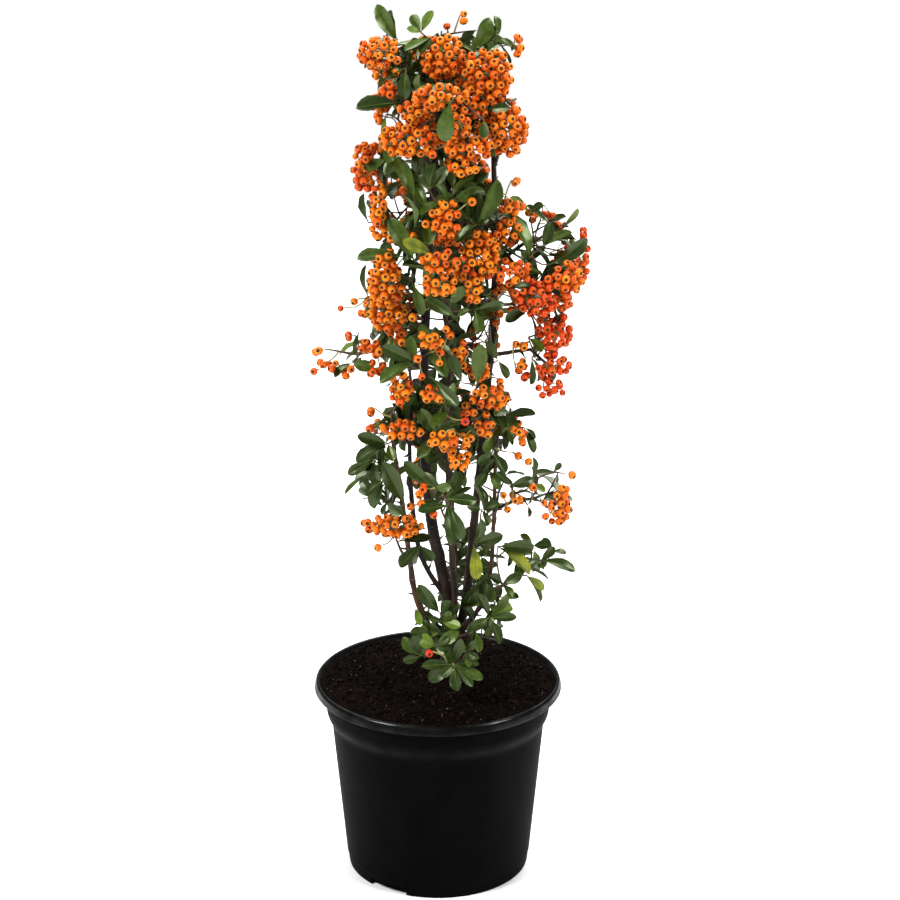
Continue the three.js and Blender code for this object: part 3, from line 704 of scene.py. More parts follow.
def mesh_object(name: str, vertices: list, faces: list, edges: list | None = None,
                home: bpy.types.Collection | None = None) -> Piece:
    """A new object from plain lists.

    Args:
        name: the piece's name.
        vertices: places in metres.
        faces: rings of vertex numbers.
        edges: pairs of vertex numbers, for lines with no faces.
        home: the collection that holds it, where that isn't the scene's own.

    Returns:
        The object, at the origin.
    """
    mesh = bpy.data.meshes.new(name)
    mesh.from_pydata(vertices, edges or [], faces)
    mesh.update()
    piece = bpy.data.objects.new(name, mesh)
    (home or bpy.context.scene.collection).objects.link(piece)
    return piece


def label(piece: Piece, name: str, kind: str, values: list, domain: str = "POINT") -> None:
    """Give a mesh a named attribute with a value for each point or face."""
    slot = "vector" if kind == "FLOAT_VECTOR" else "value"
    piece.data.attributes.new(name, kind, domain).data.foreach_set(slot, values)


def smooth(piece: Piece, crease: float) -> None:
    """Shade a piece smooth except at edges that turn more than an angle in degrees."""
    piece.data.shade_smooth()
    piece.data.set_sharp_from_angle(angle=math.radians(crease))


def ring(sides: int, radius: float, height: float, aside: float = 0.0) -> list[Triple]:
    """Points in a circle round the Z axis, moved aside along X."""
    turns = [k / sides * math.tau for k in range(sides)]
    return [(radius * math.cos(turn) + aside, radius * math.sin(turn), height) for turn in turns]


def stacked(start: Triple | None, rings: list[list[Triple]], end: Triple | None,
            downward: bool = False) -> tuple[list[Triple], list[tuple[int, ...]]]:
    """A closed body made of rings, with a point or a flat face at each end.

    Args:
        start: the point that closes the first ring, or None for a flat face.
        rings: rings of as many points each, anticlockwise seen from the end.
        end: the point that closes the last ring, or None for a flat face.
        downward: whether the rings are clockwise instead.

    Returns:
        Its points and its faces, side by side round the body, and then the flat ones.
    """
    poles = [pole for pole in (start, end) if pole is not None]
    sides, first = len(rings[0]), len(poles)
    last = first + (len(rings) - 1) * sides
    faces: list[tuple[int, ...]] = []
    for k in range(sides):
        after = (k + 1) % sides
        if start is not None:
            faces.append((0, first + after, first + k))
        for low in range(first, last, sides):
            high = low + sides
            faces.append((low + k, low + after, high + after, high + k))
        if end is not None:
            faces.append((first - 1, last + k, last + after))
    if start is None:
        faces.append(tuple(range(first + sides - 1, first - 1, -1)))
    if end is None:
        faces.append(tuple(range(last, last + sides)))
    if downward:
        faces = [(face[0], *face[:0:-1]) for face in faces]
    return [*poles, *(point for row in rings for point in row)], faces


def rounded(corners: list[tuple[float, float, float]], steps: int) -> list[Pair]:
    """A profile whose corners are rounded.

    Args:
        corners: radius, height and the length that each corner is rounded over, in millimetres.
        steps: how many spans each rounding has.

    Returns:
        The profile's points.
    """
    points: list[Pair] = []
    for k, (radius, height, ease) in enumerate(corners):
        here = Vector((radius, height))
        if ease == 0:
            points.append((radius, height))
            continue
        before = Vector(corners[k - 1][:2]) - here
        after = Vector(corners[k + 1][:2]) - here
        start = here + before.normalized() * min(ease, before.length * 0.45)
        end = here + after.normalized() * min(ease, after.length * 0.45)
        for step in range(steps + 1):
            t = step / steps
            point = start * (1 - t) ** 2 + here * 2 * t * (1 - t) + end * t ** 2
            points.append((point.x, point.y))
    return points


def freeze(piece: Piece) -> None:
    """Turn a piece with its modifiers into its plain mesh."""
    depsgraph = bpy.context.evaluated_depsgraph_get()
    mesh = bpy.data.meshes.new_from_object(piece.evaluated_get(depsgraph))
    mesh.name = piece.name
    piece.modifiers.clear()
    piece.data = mesh


def carve(piece: Piece, added: list[Piece], cutters: list[Piece]) -> None:
    """Join shapes to a piece and cut others out of it, and take both away.

    Args:
        piece: the piece that is carved.
        added: closed objects that become part of it.
        cutters: closed objects that are cut out of it.
    """
    steps = [(shape, "UNION") for shape in added] + [(shape, "DIFFERENCE") for shape in cutters]
    for shape, operation in steps:
        modifier = piece.modifiers.new("carve", "BOOLEAN")
        modifier.operation = operation
        modifier.solver = "EXACT"
        modifier.object = shape
    freeze(piece)
    for shape in added + cutters:
        bpy.data.objects.remove(shape)


# ---- node trees ----


class NodeSheet:
    """A node tree that is being written."""

    def __init__(self, tree: Tree) -> None:
        """Keep the tree."""
        self.tree = tree

    def feed(self, node: bpy.types.Node, inputs: dict) -> None:
        """Set a node's inputs, by name or number, each to a value or to the output that feeds it."""
        for name, value in inputs.items():
            if isinstance(value, Socket):
                self.tree.links.new(value, node.inputs[name])
            else:
                node.inputs[name].default_value = value

    def add(self, kind: str, inputs: dict | None = None, **settings: object) -> Outputs:
        """Add a node.

        Args:
            kind: its type.
            inputs: what its inputs are set to or fed by.
            settings: its own properties.

        Returns:
            Its outputs.
        """
        node = self.tree.nodes.new(kind)
        for name, value in settings.items():
            setattr(node, name, value)
        self.feed(node, inputs or {})
        return node.outputs

    def reckon(self, operation: str, *values: object, clamp: bool = False) -> Socket:
        """The result of a Math node on values and outputs."""
        return self.add("ShaderNodeMath", dict(enumerate(values)), operation=operation, use_clamp=clamp)[0]

    def place(self) -> Socket:
        """The place on the piece, in its own coordinates."""
        return self.add("ShaderNodeTexCoord")["Object"]

    def noise(self, where: Socket, scale: Socket, detail: float,
              roughness: float = 0.5) -> Socket:
        """Cloudy noise.

        Args:
            where: the place.
            scale: the scale.
            detail: how many finer layers there are.
            roughness: how strong they are.

        Returns:
            A value from 0 to 1.
        """
        return self.add("ShaderNodeTexNoise", {
            "Vector": where, "Scale": scale, "Detail": detail, "Roughness": roughness,
        })["Fac"]

    def ramp(self, value: Socket, start: Pair, end: Pair, **settings: object) -> Socket:
        """Map a value to another range.

        Args:
            value: the value.
            start: the lowest value and what it becomes.
            end: the highest value and what it becomes.
            settings: the node's own properties.

        Returns:
            The new value.
        """
        return self.add("ShaderNodeMapRange", {
            "Value": value, "From Min": start[0], "From Max": end[0], "To Min": start[1], "To Max": end[1],
        }, **settings)["Result"]


class GroupSheet(NodeSheet):
    """A node group with named inputs and outputs."""

    kinds = {float: "Float", int: "Int"}

    def __init__(self, name: str, kind: str, takes: dict[str, object], gives: dict[str, str]) -> None:
        """Make the group.

        Args:
            name: its name.
            kind: Shader or Geometry.
            takes: the value of each input, or its type where it has none.
            gives: the type of each output.
        """
        super().__init__(bpy.data.node_groups.new(name, f"{kind}NodeTree"))
        for title, value in takes.items():
            made = self.socket(title, "INPUT", self.kinds.get(type(value), value))
            if type(value) in self.kinds:
                made.default_value = value
        for title, value in gives.items():
            self.socket(title, "OUTPUT", value)
        self.given = self.add("NodeGroupInput")

    def socket(self, name: str, way: str, kind: str) -> bpy.types.NodeTreeInterfaceSocket:
        """Give the group an input or an output."""
        return self.tree.interface.new_socket(name, in_out=way, socket_type=f"NodeSocket{kind}")

    def close(self, outputs: dict[str, Socket]) -> Tree:
        """Join what the group puts out, and return its tree."""
        self.feed(self.tree.nodes.new("NodeGroupOutput"), outputs)
        return self.tree


class ShaderGroups:
    """The effects that more than one finish uses, each built once."""

    def __init__(self) -> None:
        """Build the groups."""
        self.mottle = self.build_mottle()
        self.grain = self.build_grain()
        self.band = self.build_band()

    @staticmethod
    def build_mottle() -> Tree:
        """Patches of two colours with fine grains in them.

        Returns:
            A group with Color and Height.
        """
        takes = {"Light": "Color", "Dark": "Color", "Scale": 100.0, "Fine Scale": 900.0}
        sheet = GroupSheet("mottle", "Shader", takes, {"Color": "Color", "Height": "Float"})
        place = sheet.place()
        patches = sheet.noise(place, sheet.given["Scale"], 3)
        fine = sheet.noise(place, sheet.given["Fine Scale"], 2)
        height = sheet.reckon("MULTIPLY_ADD", fine, 0.35, patches)
        share = sheet.ramp(height, (0.48, 0.0), (0.86, 1.0), interpolation_type="SMOOTHSTEP")
        mix = {"Factor": share, 6: sheet.given["Dark"], 7: sheet.given["Light"]}
        colour = sheet.add("ShaderNodeMix", mix, data_type="RGBA")[2]
        return sheet.close({"Color": colour, "Height": height})

    @staticmethod
    def build_grain() -> Tree:
        """Long streaks along the upright, as in bark.

        Returns:
            A group with Height.
        """
        sheet = GroupSheet("grain", "Shader", {"Scale": 400.0, "Stretch": 0.2}, {"Height": "Float"})
        along = sheet.add("ShaderNodeCombineXYZ", {"X": 1.0, "Y": 1.0, "Z": sheet.given["Stretch"]})["Vector"]
        drawn = sheet.add("ShaderNodeVectorMath", {0: sheet.place(), 1: along}, operation="MULTIPLY")
        return sheet.close({"Height": sheet.noise(drawn["Vector"], sheet.given["Scale"], 4, 0.6)})

    @staticmethod
    def build_band() -> Tree:
        """A band of height that fades to its edges and is broken up by noise.

        Returns:
            A group with Mask.
        """
        takes = {"Height": 0.1, "Half Width": 0.01, "Scale": 150.0}
        sheet = GroupSheet("band", "Shader", takes, {"Mask": "Float"})
        place = sheet.place()
        height = sheet.add("ShaderNodeSeparateXYZ", {"Vector": place})["Z"]
        off = sheet.reckon("ABSOLUTE", sheet.reckon("SUBTRACT", height, sheet.given["Height"]))
        share = sheet.reckon("DIVIDE", off, sheet.given["Half Width"])
        near = sheet.reckon("SUBTRACT", 1.0, share, clamp=True)
        specks = sheet.noise(place, sheet.given["Scale"], 5)
        broken = sheet.ramp(specks, (0.25, 0.22), (0.75, 1.0), interpolation_type="SMOOTHSTEP")
        return sheet.close({"Mask": sheet.reckon("MULTIPLY", near, broken)})


GROUPS = ShaderGroups()


# ---- finishes ----


class MaterialSheet(NodeSheet):
    """A material with its Principled shader ready to be fed."""

    def __init__(self, name: str) -> None:
        """Make the material."""
        self.material = bpy.data.materials.new(name)
        self.material.use_nodes = True
        super().__init__(self.material.node_tree)

    def group(self, tree: Tree, inputs: dict) -> Outputs:
        """Place a shader group with its own values, and return its outputs."""
        return self.add("ShaderNodeGroup", inputs, node_tree=tree)

    def mottle(self, light: Triple, dark: Triple, scale: float, fine_scale: float) -> Outputs:
        """Place patches of two colours.

        Args:
            light: the paler colour.
            dark: the darker colour.
            scale: the scale of the patches.
            fine_scale: the scale of the grains.

        Returns:
            The Color and the Height.
        """
        return self.group(GROUPS.mottle, {
            "Light": (*light, 1.0), "Dark": (*dark, 1.0), "Scale": scale, "Fine Scale": fine_scale,
        })

    def bump(self, height: Socket, distance: float, strength: float = 1.0) -> Socket:
        """The normal of a surface that stands out by a height, whose full size is given in metres."""
        inputs = {"Height": height, "Distance": distance, "Strength": strength}
        return self.add("ShaderNodeBump", inputs)["Normal"]

    def done(self, inputs: dict) -> bpy.types.Material:
        """Feed the shader, and return the material."""
        self.feed(self.tree.nodes["Principled BSDF"], inputs)
        return self.material


@dataclass(frozen=True)
class MottledFinish:
    """A surface of two near colours in patches, with grains that give it a fine relief."""

    name: str
    light: Triple
    dark: Triple
    scale: float
    fine_scale: float
    roughness: Pair
    relief: float
    specular: float = 0.5
    shine: Triple = (1.0, 1.0, 1.0)

    def material(self) -> bpy.types.Material:
        """The finish as a material."""
        sheet = MaterialSheet(self.name)
        mottle = sheet.mottle(self.light, self.dark, self.scale, self.fine_scale)
        dull, rough = self.roughness
        return sheet.done({
            "Base Color": mottle["Color"],
            "Roughness": sheet.ramp(mottle["Height"], (0.3, dull), (0.7, rough)),
            "Normal": sheet.bump(mottle["Height"], self.relief),
            "Specular IOR Level": self.specular,
            "Specular Tint": (*self.shine, 1.0),
        })


@dataclass(frozen=True)
class BarkFinish:
    """Bark of two browns with long streaks and fine pores."""

    name: str
    light: Triple
    dark: Triple

    def material(self) -> bpy.types.Material:
        """The finish as a material."""
        sheet = MaterialSheet(self.name)
        mottle = sheet.mottle(self.light, self.dark, 60.0, 650.0)
        grain = sheet.group(GROUPS.grain, {"Scale": 480.0, "Stretch": 0.16})["Height"]
        return sheet.done({
            "Base Color": mottle["Color"],
            "Roughness": sheet.ramp(grain, (0.3, 0.48), (0.7, 0.75)),
            "Normal": sheet.bump(grain, 0.0006, 0.8),
            "Specular IOR Level": 0.18,
        })


@dataclass(frozen=True)
class PotPlastic:
    """Black moulded plastic: dull and finely grained, rubbed to a gloss on its shoulder and rim."""

    name: str = "pot_plastic"
    grey: Triple = (0.0015, 0.0015, 0.0016)
    black: Triple = (0.0007, 0.0007, 0.0008)
    roughness: float = 0.62
    specular: float = 0.02
    relief: float = 0.00004
    shoulder: Pair = (0.1465, 0.0075)
    rim: Pair = (0.1755, 0.0110)
    shoulder_share: float = 0.16
    gloss: float = 0.64
    rubbed_roughness: float = 0.22

    def material(self) -> bpy.types.Material:
        """The finish as a material."""
        sheet = MaterialSheet(self.name)
        mottle = sheet.mottle(self.grey, self.black, 35.0, 1400.0)
        shoulder, rim = (
            sheet.group(GROUPS.band, {"Height": height, "Half Width": half, "Scale": 60.0})["Mask"]
            for height, half in (self.shoulder, self.rim)
        )
        rubbed = sheet.reckon("MULTIPLY_ADD", shoulder, self.shoulder_share, rim, clamp=True)
        return sheet.done({
            "Base Color": mottle["Color"],
            "Roughness": self.roughness,
            "Normal": sheet.bump(mottle["Height"], self.relief),
            "Specular IOR Level": self.specular,
            "Coat Weight": sheet.reckon("MULTIPLY", rubbed, self.gloss),
            "Coat Roughness": self.rubbed_roughness,
        })


BARKS = {
    "trunk": BarkFinish("bark_trunk", (0.036, 0.022, 0.015), (0.011, 0.007, 0.0055)),
    "stem_left": BarkFinish("bark_reddish", (0.090, 0.042, 0.023), (0.030, 0.014, 0.009)),
    "stem_inner": BarkFinish("bark_dusky", (0.026, 0.016, 0.012), (0.009, 0.006, 0.005)),
    "stem_outer": BarkFinish("bark_tan", (0.115, 0.058, 0.031), (0.040, 0.020, 0.012)),
    "other": BarkFinish("bark_brown", (0.050, 0.028, 0.018), (0.016, 0.010, 0.007)),
}

LEAF_SHINE = (0.84, 1.0, 0.58)
LEAF_TOPS = {
    D: MottledFinish("leaf_dark", (0.0145, 0.0300, 0.0030), (0.0090, 0.0205, 0.0020), 260, 1500,
                     (0.24, 0.34), 0.00006, 0.50, LEAF_SHINE),
    M: MottledFinish("leaf_mid", (0.046, 0.078, 0.0065), (0.023, 0.044, 0.0038), 260, 1500, (0.24, 0.34),
                     0.00006, 0.50, LEAF_SHINE),
    Y: MottledFinish("leaf_young", (0.092, 0.150, 0.013), (0.066, 0.115, 0.010), 260, 1500, (0.30, 0.40),
                     0.00005, 0.45, LEAF_SHINE),
    G: MottledFinish("leaf_golden", (0.210, 0.220, 0.016), (0.066, 0.095, 0.009), 120, 1500, (0.34, 0.46),
                     0.00005, 0.30, LEAF_SHINE),
}
LEAF_UNDERSIDE = MottledFinish("leaf_underside", (0.078, 0.112, 0.028), (0.060, 0.090, 0.021), 260, 1500,
                               (0.55, 0.7), 0.00005, 0.2)
LEAF_RIB = MottledFinish("leaf_rib", (0.068, 0.100, 0.016), (0.050, 0.076, 0.011), 260, 1500, (0.4, 0.55),
                         0.00004, 0.25, LEAF_SHINE)

BERRY_SHINE = (1.0, 0.74, 0.46)
BERRY_COLOURS = {
    O: ("orange", (0.59, 0.098, 0.0018), (0.73, 0.172, 0.0050)),
    A: ("amber", (0.65, 0.142, 0.0028), (0.77, 0.225, 0.0070)),
    P: ("deep", (0.53, 0.060, 0.0016), (0.66, 0.108, 0.0035)),
    R: ("red_orange", (0.53, 0.038, 0.0018), (0.63, 0.068, 0.0030)),
    S: ("scarlet", (0.50, 0.017, 0.0080), (0.58, 0.032, 0.0110)),
}
BERRY_SKINS = {
    tint: (
        MottledFinish(f"berry_{name}", skin, tuple(c * 0.9 for c in skin), 700, 3000, (0.22, 0.32), 0.00003,
                      0.42, BERRY_SHINE),
        MottledFinish(f"berry_{name}_ring", rim, tuple(c * 0.9 for c in rim), 700, 3000, (0.30, 0.40),
                      0.00003, 0.35, BERRY_SHINE),
    )
    for tint, (name, skin, rim) in BERRY_COLOURS.items()
}
BERRY_EYE = MottledFinish("berry_eye", (0.105, 0.036, 0.020), (0.032, 0.011, 0.007), 900, 4000, (0.6, 0.8),
                          0.00008, 0.05)

TWIG_BARK = MottledFinish("twig_bark", (0.10, 0.055, 0.032), (0.035, 0.020, 0.014), 90, 1200, (0.5, 0.7),
                          0.00012, 0.4)
TWIG_GREEN = MottledFinish("twig_green", (0.34, 0.32, 0.085), (0.20, 0.17, 0.045), 120, 1200, (0.4, 0.55),
                           0.00006, 0.4)
THORN_HORN = MottledFinish("thorn_horn", (0.045, 0.025, 0.018), (0.014, 0.008, 0.006), 150, 1500,
                           (0.4, 0.55), 0.0001, 0.45)

PEAT = MottledFinish("peat", (0.0046, 0.0026, 0.0017), (0.0013, 0.0009, 0.0007), 190, 1200, (0.88, 0.98),
                     0.0012, 0.02)
CRUMBS = (
    MottledFinish("crumb_peat", (0.0044, 0.0026, 0.0018), (0.0014, 0.0009, 0.0007), 200, 1500, (0.88, 0.98),
                  0.0006, 0.04),
    MottledFinish("crumb_brown", (0.013, 0.0062, 0.0040), (0.0050, 0.0027, 0.0020), 200, 1500, (0.8, 0.95),
                  0.0006, 0.08),
    MottledFinish("crumb_tan", (0.11, 0.058, 0.030), (0.045, 0.024, 0.013), 300, 1500, (0.7, 0.9),
                  0.0003, 0.3),
    MottledFinish("crumb_grit", (0.22, 0.185, 0.14), (0.11, 0.088, 0.064), 300, 1500, (0.6, 0.8),
                  0.0003, 0.3),
)
FLOOR = MottledFinish("pale_floor", (0.93, 0.93, 0.925), (0.925, 0.925, 0.92), 30, 400, (0.85, 0.95),
                      0.00001, 0.05)


# ---- Geometry Nodes ----


@dataclass(frozen=True)
class Coat:
    """A material and the faces it covers: one part of the shape, on copies of one tint."""

    material: bpy.types.Material
    part: int
    tint: int


class PaintedTree(GroupSheet):
    """A Geometry Nodes tree that ends with a material on each part and tint."""

    def __init__(self, name: str, takes: dict[str, object]) -> None:
        """Make the tree.

        Args:
            name: its name.
            takes: the value or the type of each input beside the geometry.
        """
        super().__init__(name, "Geometry", {"Geometry": "Geometry", **takes}, {"Geometry": "Geometry"})

    def attribute(self, name: str, kind: str) -> Socket:
        """The output of a named attribute of one type."""
        return self.add("GeometryNodeInputNamedAttribute", {"Name": name}, data_type=kind)["Attribute"]

    def paint(self, shown: Socket, coats: list[Coat]) -> None:
        """Make the copies real, cover their faces and put them out.

        Args:
            shown: the geometry.
            coats: the materials, by part and tint.
        """
        shown = self.add("GeometryNodeRealizeInstances", {"Geometry": shown})["Geometry"]
        for coat in coats:
            part, tint = (
                self.add("FunctionNodeCompare", {2: self.attribute(name, "INT"), 3: number},
                         data_type="INT", operation="EQUAL")[0]
                for name, number in (("part", coat.part), ("tint", coat.tint))
            )
            both = self.add("FunctionNodeBooleanMath", {0: part, 1: tint}, operation="AND")[0]
            shown = self.add("GeometryNodeSetMaterial", {
                "Geometry": shown, "Selection": both, "Material": coat.material,
            })["Geometry"]
        self.close({"Geometry": shown})


class ScatterTree(PaintedTree):
    """A tree that puts a turned and sized copy of a shape on every point of a mesh."""

    def __init__(self, name: str, coats: list[Coat]) -> None:
        """Build the tree.

        Args:
            name: its name.
            coats: the materials, by part and tint.
        """
        super().__init__(name, {"Shapes": "Collection", "Size": MM, "Spread": 0.05, "Seed": SEED})
        spread = self.given["Spread"]
        jitter = self.add("FunctionNodeRandomValue", {
            2: self.reckon("SUBTRACT", 1.0, spread),
            3: self.reckon("ADD", 1.0, spread),
            "Seed": self.given["Seed"],
        }, data_type="FLOAT")[1]
        scale = self.add("ShaderNodeVectorMath", {
            0: self.attribute("size", "FLOAT_VECTOR"),
            "Scale": self.reckon("MULTIPLY", jitter, self.given["Size"]),
        }, operation="SCALE")[0]
        shapes = self.add("GeometryNodeCollectionInfo", {
            "Collection": self.given["Shapes"], "Separate Children": True, "Reset Children": True,
        })["Instances"]
        copies = self.add("GeometryNodeInstanceOnPoints", {
            "Points": self.given["Geometry"],
            "Instance": shapes,
            "Pick Instance": True,
            "Instance Index": self.attribute("shape", "INT"),
            "Rotation": self.attribute("turn", "QUATERNION"),
            "Scale": scale,
        })["Instances"]
        self.paint(copies, coats)


class TubeTree(PaintedTree):
    """A tree that turns thin lines into round twigs of their own thickness."""

    def __init__(self, name: str, coats: list[Coat]) -> None:
        """Build the tree.

        Args:
            name: its name.
            coats: the materials, by tint.
        """
        super().__init__(name, {"Sides": 5, "Radius": MM})
        lines = self.add("GeometryNodeMeshToCurve", {"Mesh": self.given["Geometry"]})["Curve"]
        outline = self.add("GeometryNodeCurvePrimitiveCircle", {
            "Resolution": self.given["Sides"], "Radius": self.given["Radius"],
        }, mode="RADIUS")["Curve"]
        tubes = self.add("GeometryNodeCurveToMesh", {
            "Curve": lines,
            "Profile Curve": outline,
            "Scale": self.attribute("thickness", "FLOAT"),
            "Fill Caps": True,
        })["Mesh"]
        self.paint(self.add("GeometryNodeSetShadeSmooth", {"Geometry": tubes})["Geometry"], coats)


def settle(piece: Piece, tree: Tree, inputs: dict[str, object]) -> None:
    """Run a tree on an object and keep the result as its plain mesh, with the materials that it wears.

    Args:
        piece: the points or lines that the tree reads.
        tree: the Geometry Nodes tree.
        inputs: the values of its named inputs.
    """
    modifier = piece.modifiers.new(tree.name, "NODES")
    modifier.node_group = tree
    for item in tree.interface.items_tree:
        if item.in_out == "INPUT" and item.name in inputs:
            modifier[item.identifier] = inputs[item.name]
    freeze(piece)
    mesh = piece.data
    numbers = [face.material_index for face in mesh.polygons]
    used = {k: mesh.materials[k] for k in sorted(set(numbers)) if mesh.materials[k]}
    renumber = {k: rank for rank, k in enumerate(used)}
    mesh.materials.clear()
    for material in used.values():
        mesh.materials.append(material)
    mesh.polygons.foreach_set("material_index", [renumber.get(k, 0) for k in numbers])


class ShapeTray:
    """The shapes that a ScatterTree picks from, held outside the scene."""

    def __init__(self, name: str, coat: bpy.types.Material) -> None:
        """Start an empty tray, with the material that every shape starts with."""
        self.collection = bpy.data.collections.new(name)
        self.coat = coat

    def add(self, vertices: list[Triple], faces: list[tuple[int, ...]], parts: list[int] | None = None,
            crease: float = 60) -> None:
        """Add a shape of unit size.

        Args:
            vertices: its points.
            faces: its faces.
            parts: the part that each face belongs to.
            crease: edges that turn more than this many degrees stay sharp.
        """
        shape = mesh_object(f"{self.collection.name}_{len(self.collection.objects)}", vertices, faces,
                            home=self.collection)
        shape.data.materials.append(self.coat)
        smooth(shape, crease)
        label(shape, "part", "INT", parts or [0] * len(faces), "FACE")

    def clear(self) -> None:
        """Take the shapes away again."""
        for shape in list(self.collection.objects):
            bpy.data.objects.remove(shape)
        bpy.data.collections.remove(self.collection)


@dataclass(frozen=True)
class Seat:
    """Where one copy of a shape goes, in millimetres: its place, turn, size, tint and shape."""

    place: Vector
    turn: Quaternion
    size: Triple
    tint: int = 0
    shape: int = 0


class Seats(list[Seat]):
    """The places for the copies of a shape."""

    def by_height(self, count: int) -> list["Seats"]:
        """Deal the places out by height into equal shares.

        Args:
            count: how many shares.

        Returns:
            The shares, the lowest first.
        """
        ordered = sorted(self, key=lambda seat: seat.place.z)
        shares = [Seats() for _ in range(count)]
        for rank, seat in enumerate(ordered):
            shares[rank * count // len(ordered)].append(seat)
        return shares

    def scatter(self, name: str, tree: ScatterTree, tray: ShapeTray, spread: float) -> Piece:
        """Put a copy of a shape on every place.

        Args:
            name: the piece's name.
            tree: the tree that does it.
            tray: the shapes.
            spread: how far the sizes vary.

        Returns:
            The copies as one piece.
        """
        piece = mesh_object(name, [tuple(seat.place * MM) for seat in self], [])
        label(piece, "turn", "QUATERNION", [c for seat in self for c in seat.turn])
        label(piece, "size", "FLOAT_VECTOR", [c for seat in self for c in seat.size])
        label(piece, "tint", "INT", [seat.tint for seat in self])
        label(piece, "shape", "INT", [seat.shape for seat in self])
        settle(piece, tree.tree, {"Shapes": tray.collection, "Size": MM, "Spread": spread, "Seed": SEED})
        return piece


def dress(piece: Piece, nodes: list[str]) -> None:
    """Fasten a finished piece to the body and hide the solids it stands for.

    Args:
        piece: the finished piece.
        nodes: the solids that it replaces.
    """
    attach(piece, "root")
    if nodes:
        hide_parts(*nodes)
    triangles = sum(len(face.vertices) - 2 for face in piece.data.polygons)
    log.info("%s: %d triangles", piece.name, triangles)


# ---- pot and soil ----


@dataclass
class Pot:
    """The nursery pot: a tapering wall with a shoulder, a neck and a flared rim, notched at its foot."""

    sides: int = 192
    rounding: int = 4
    notches: int = 2
    notch: Triple = (22.0, 38.0, 7.0)
    notch_roof: float = 2.0
    notch_turn: float = -0.59
    foot_radius: float = 81.5
    holes: int = 6
    hole_radius: float = 4.5
    hole_circle: float = 46.0
    corners: tuple[Triple, ...] = (
        (0, 0, 0), (80.6, 0, 1.4), (81.9, 9.6, 0.5), (82.0, 11.0, 0.4), (82.4, 11.6, 0.5),
        (82.7, 12.6, 0.6), (94.7, 138.4, 4.0), (99.2, 146.8, 4.0), (100.3, 167.8, 1.2),
        (101.4, 169.1, 0.8), (108.9, 169.1, 1.0), (110.0, 170.3, 0.9), (108.7, 176.0, 2.0),
        (107.0, 178.0, 1.8), (105.2, 177.2, 1.4), (98.5, 169.2, 2.5), (97.1, 147.6, 3.5),
        (92.8, 139.4, 3.5), (79.5, 2.5, 1.5), (0, 2.5, 0),
    )

    def build(self) -> None:
        """Turn the wall, cut the notches and the drain holes, and dress it."""
        start, *profile, end = rounded(list(self.corners), self.rounding)
        rows = [ring(self.sides, radius * MM, height * MM) for radius, height in profile]
        pot = mesh_object("pot_shell", *stacked((0, 0, start[1] * MM), rows, (0, 0, end[1] * MM)))
        depth, width, height = self.notch
        roof = self.notch_roof
        raised = [self.notch_block(k, -depth - roof, -4, width + 2 * roof, 0.5, height + roof)
                  for k in range(self.notches)]
        cut = [self.notch_block(k, -depth, 6, width, -height, height) for k in range(self.notches)]
        carve(pot, raised, cut + self.hole_cutters())
        smooth(pot, 35)
        pot.data.materials.clear()
        pot.data.materials.append(PotPlastic().material())
        dress(pot, ["pot"])

    def notch_block(self, number: int, start: float, end: float, width: float, low: float,
                    high: float) -> Piece:
        """A block over one notch, with rounded upper corners.

        Args:
            number: which notch.
            start: where it starts, from the foot's radius.
            end: where it ends.
            width: its width.
            low: its underside.
            high: its top.

        Returns:
            The block.
        """
        turn = number / self.notches * math.tau - math.pi / 2 + self.notch_turn
        bm = bmesh.new()
        bmesh.ops.create_cube(bm, size=MM)
        bmesh.ops.scale(bm, vec=(end - start, width, high - low), verts=bm.verts)
        upper = [e for e in bm.edges if abs(e.verts[0].co.z - e.verts[1].co.z) < 1e-6
                 and abs(e.verts[0].co.x - e.verts[1].co.x) > 1e-6 and e.verts[0].co.z > 0]
        bmesh.ops.bevel(bm, geom=upper, offset=2.5 * MM, segments=4, profile=0.5, affect="EDGES")
        middle = (self.foot_radius + (start + end) / 2, 0, (low + high) / 2)
        bmesh.ops.translate(bm, vec=Vector(middle) * MM, verts=bm.verts)
        bmesh.ops.rotate(bm, matrix=Matrix.Rotation(turn, 3, "Z"), verts=bm.verts)
        return self.cutter(f"notch_{number}", bm)

    def hole_cutters(self) -> list[Piece]:
        """The rods that cut the drain holes."""
        made = []
        for k in range(self.holes):
            turn = k / self.holes * math.tau
            bm = bmesh.new()
            bmesh.ops.create_cone(bm, cap_ends=True, segments=28, radius1=self.hole_radius * MM,
                                  radius2=self.hole_radius * MM, depth=20 * MM)
            place = (self.hole_circle * MM * math.cos(turn), self.hole_circle * MM * math.sin(turn), 0)
            bmesh.ops.translate(bm, vec=place, verts=bm.verts)
            made.append(self.cutter(f"hole_{k}", bm))
        return made

    @staticmethod
    def cutter(name: str, bm: bmesh.types.BMesh) -> Piece:
        """A cutter's object from its bmesh, which is freed."""
        cutter = mesh_object(name, [], [])
        bm.to_mesh(cutter.data)
        bm.free()
        return cutter


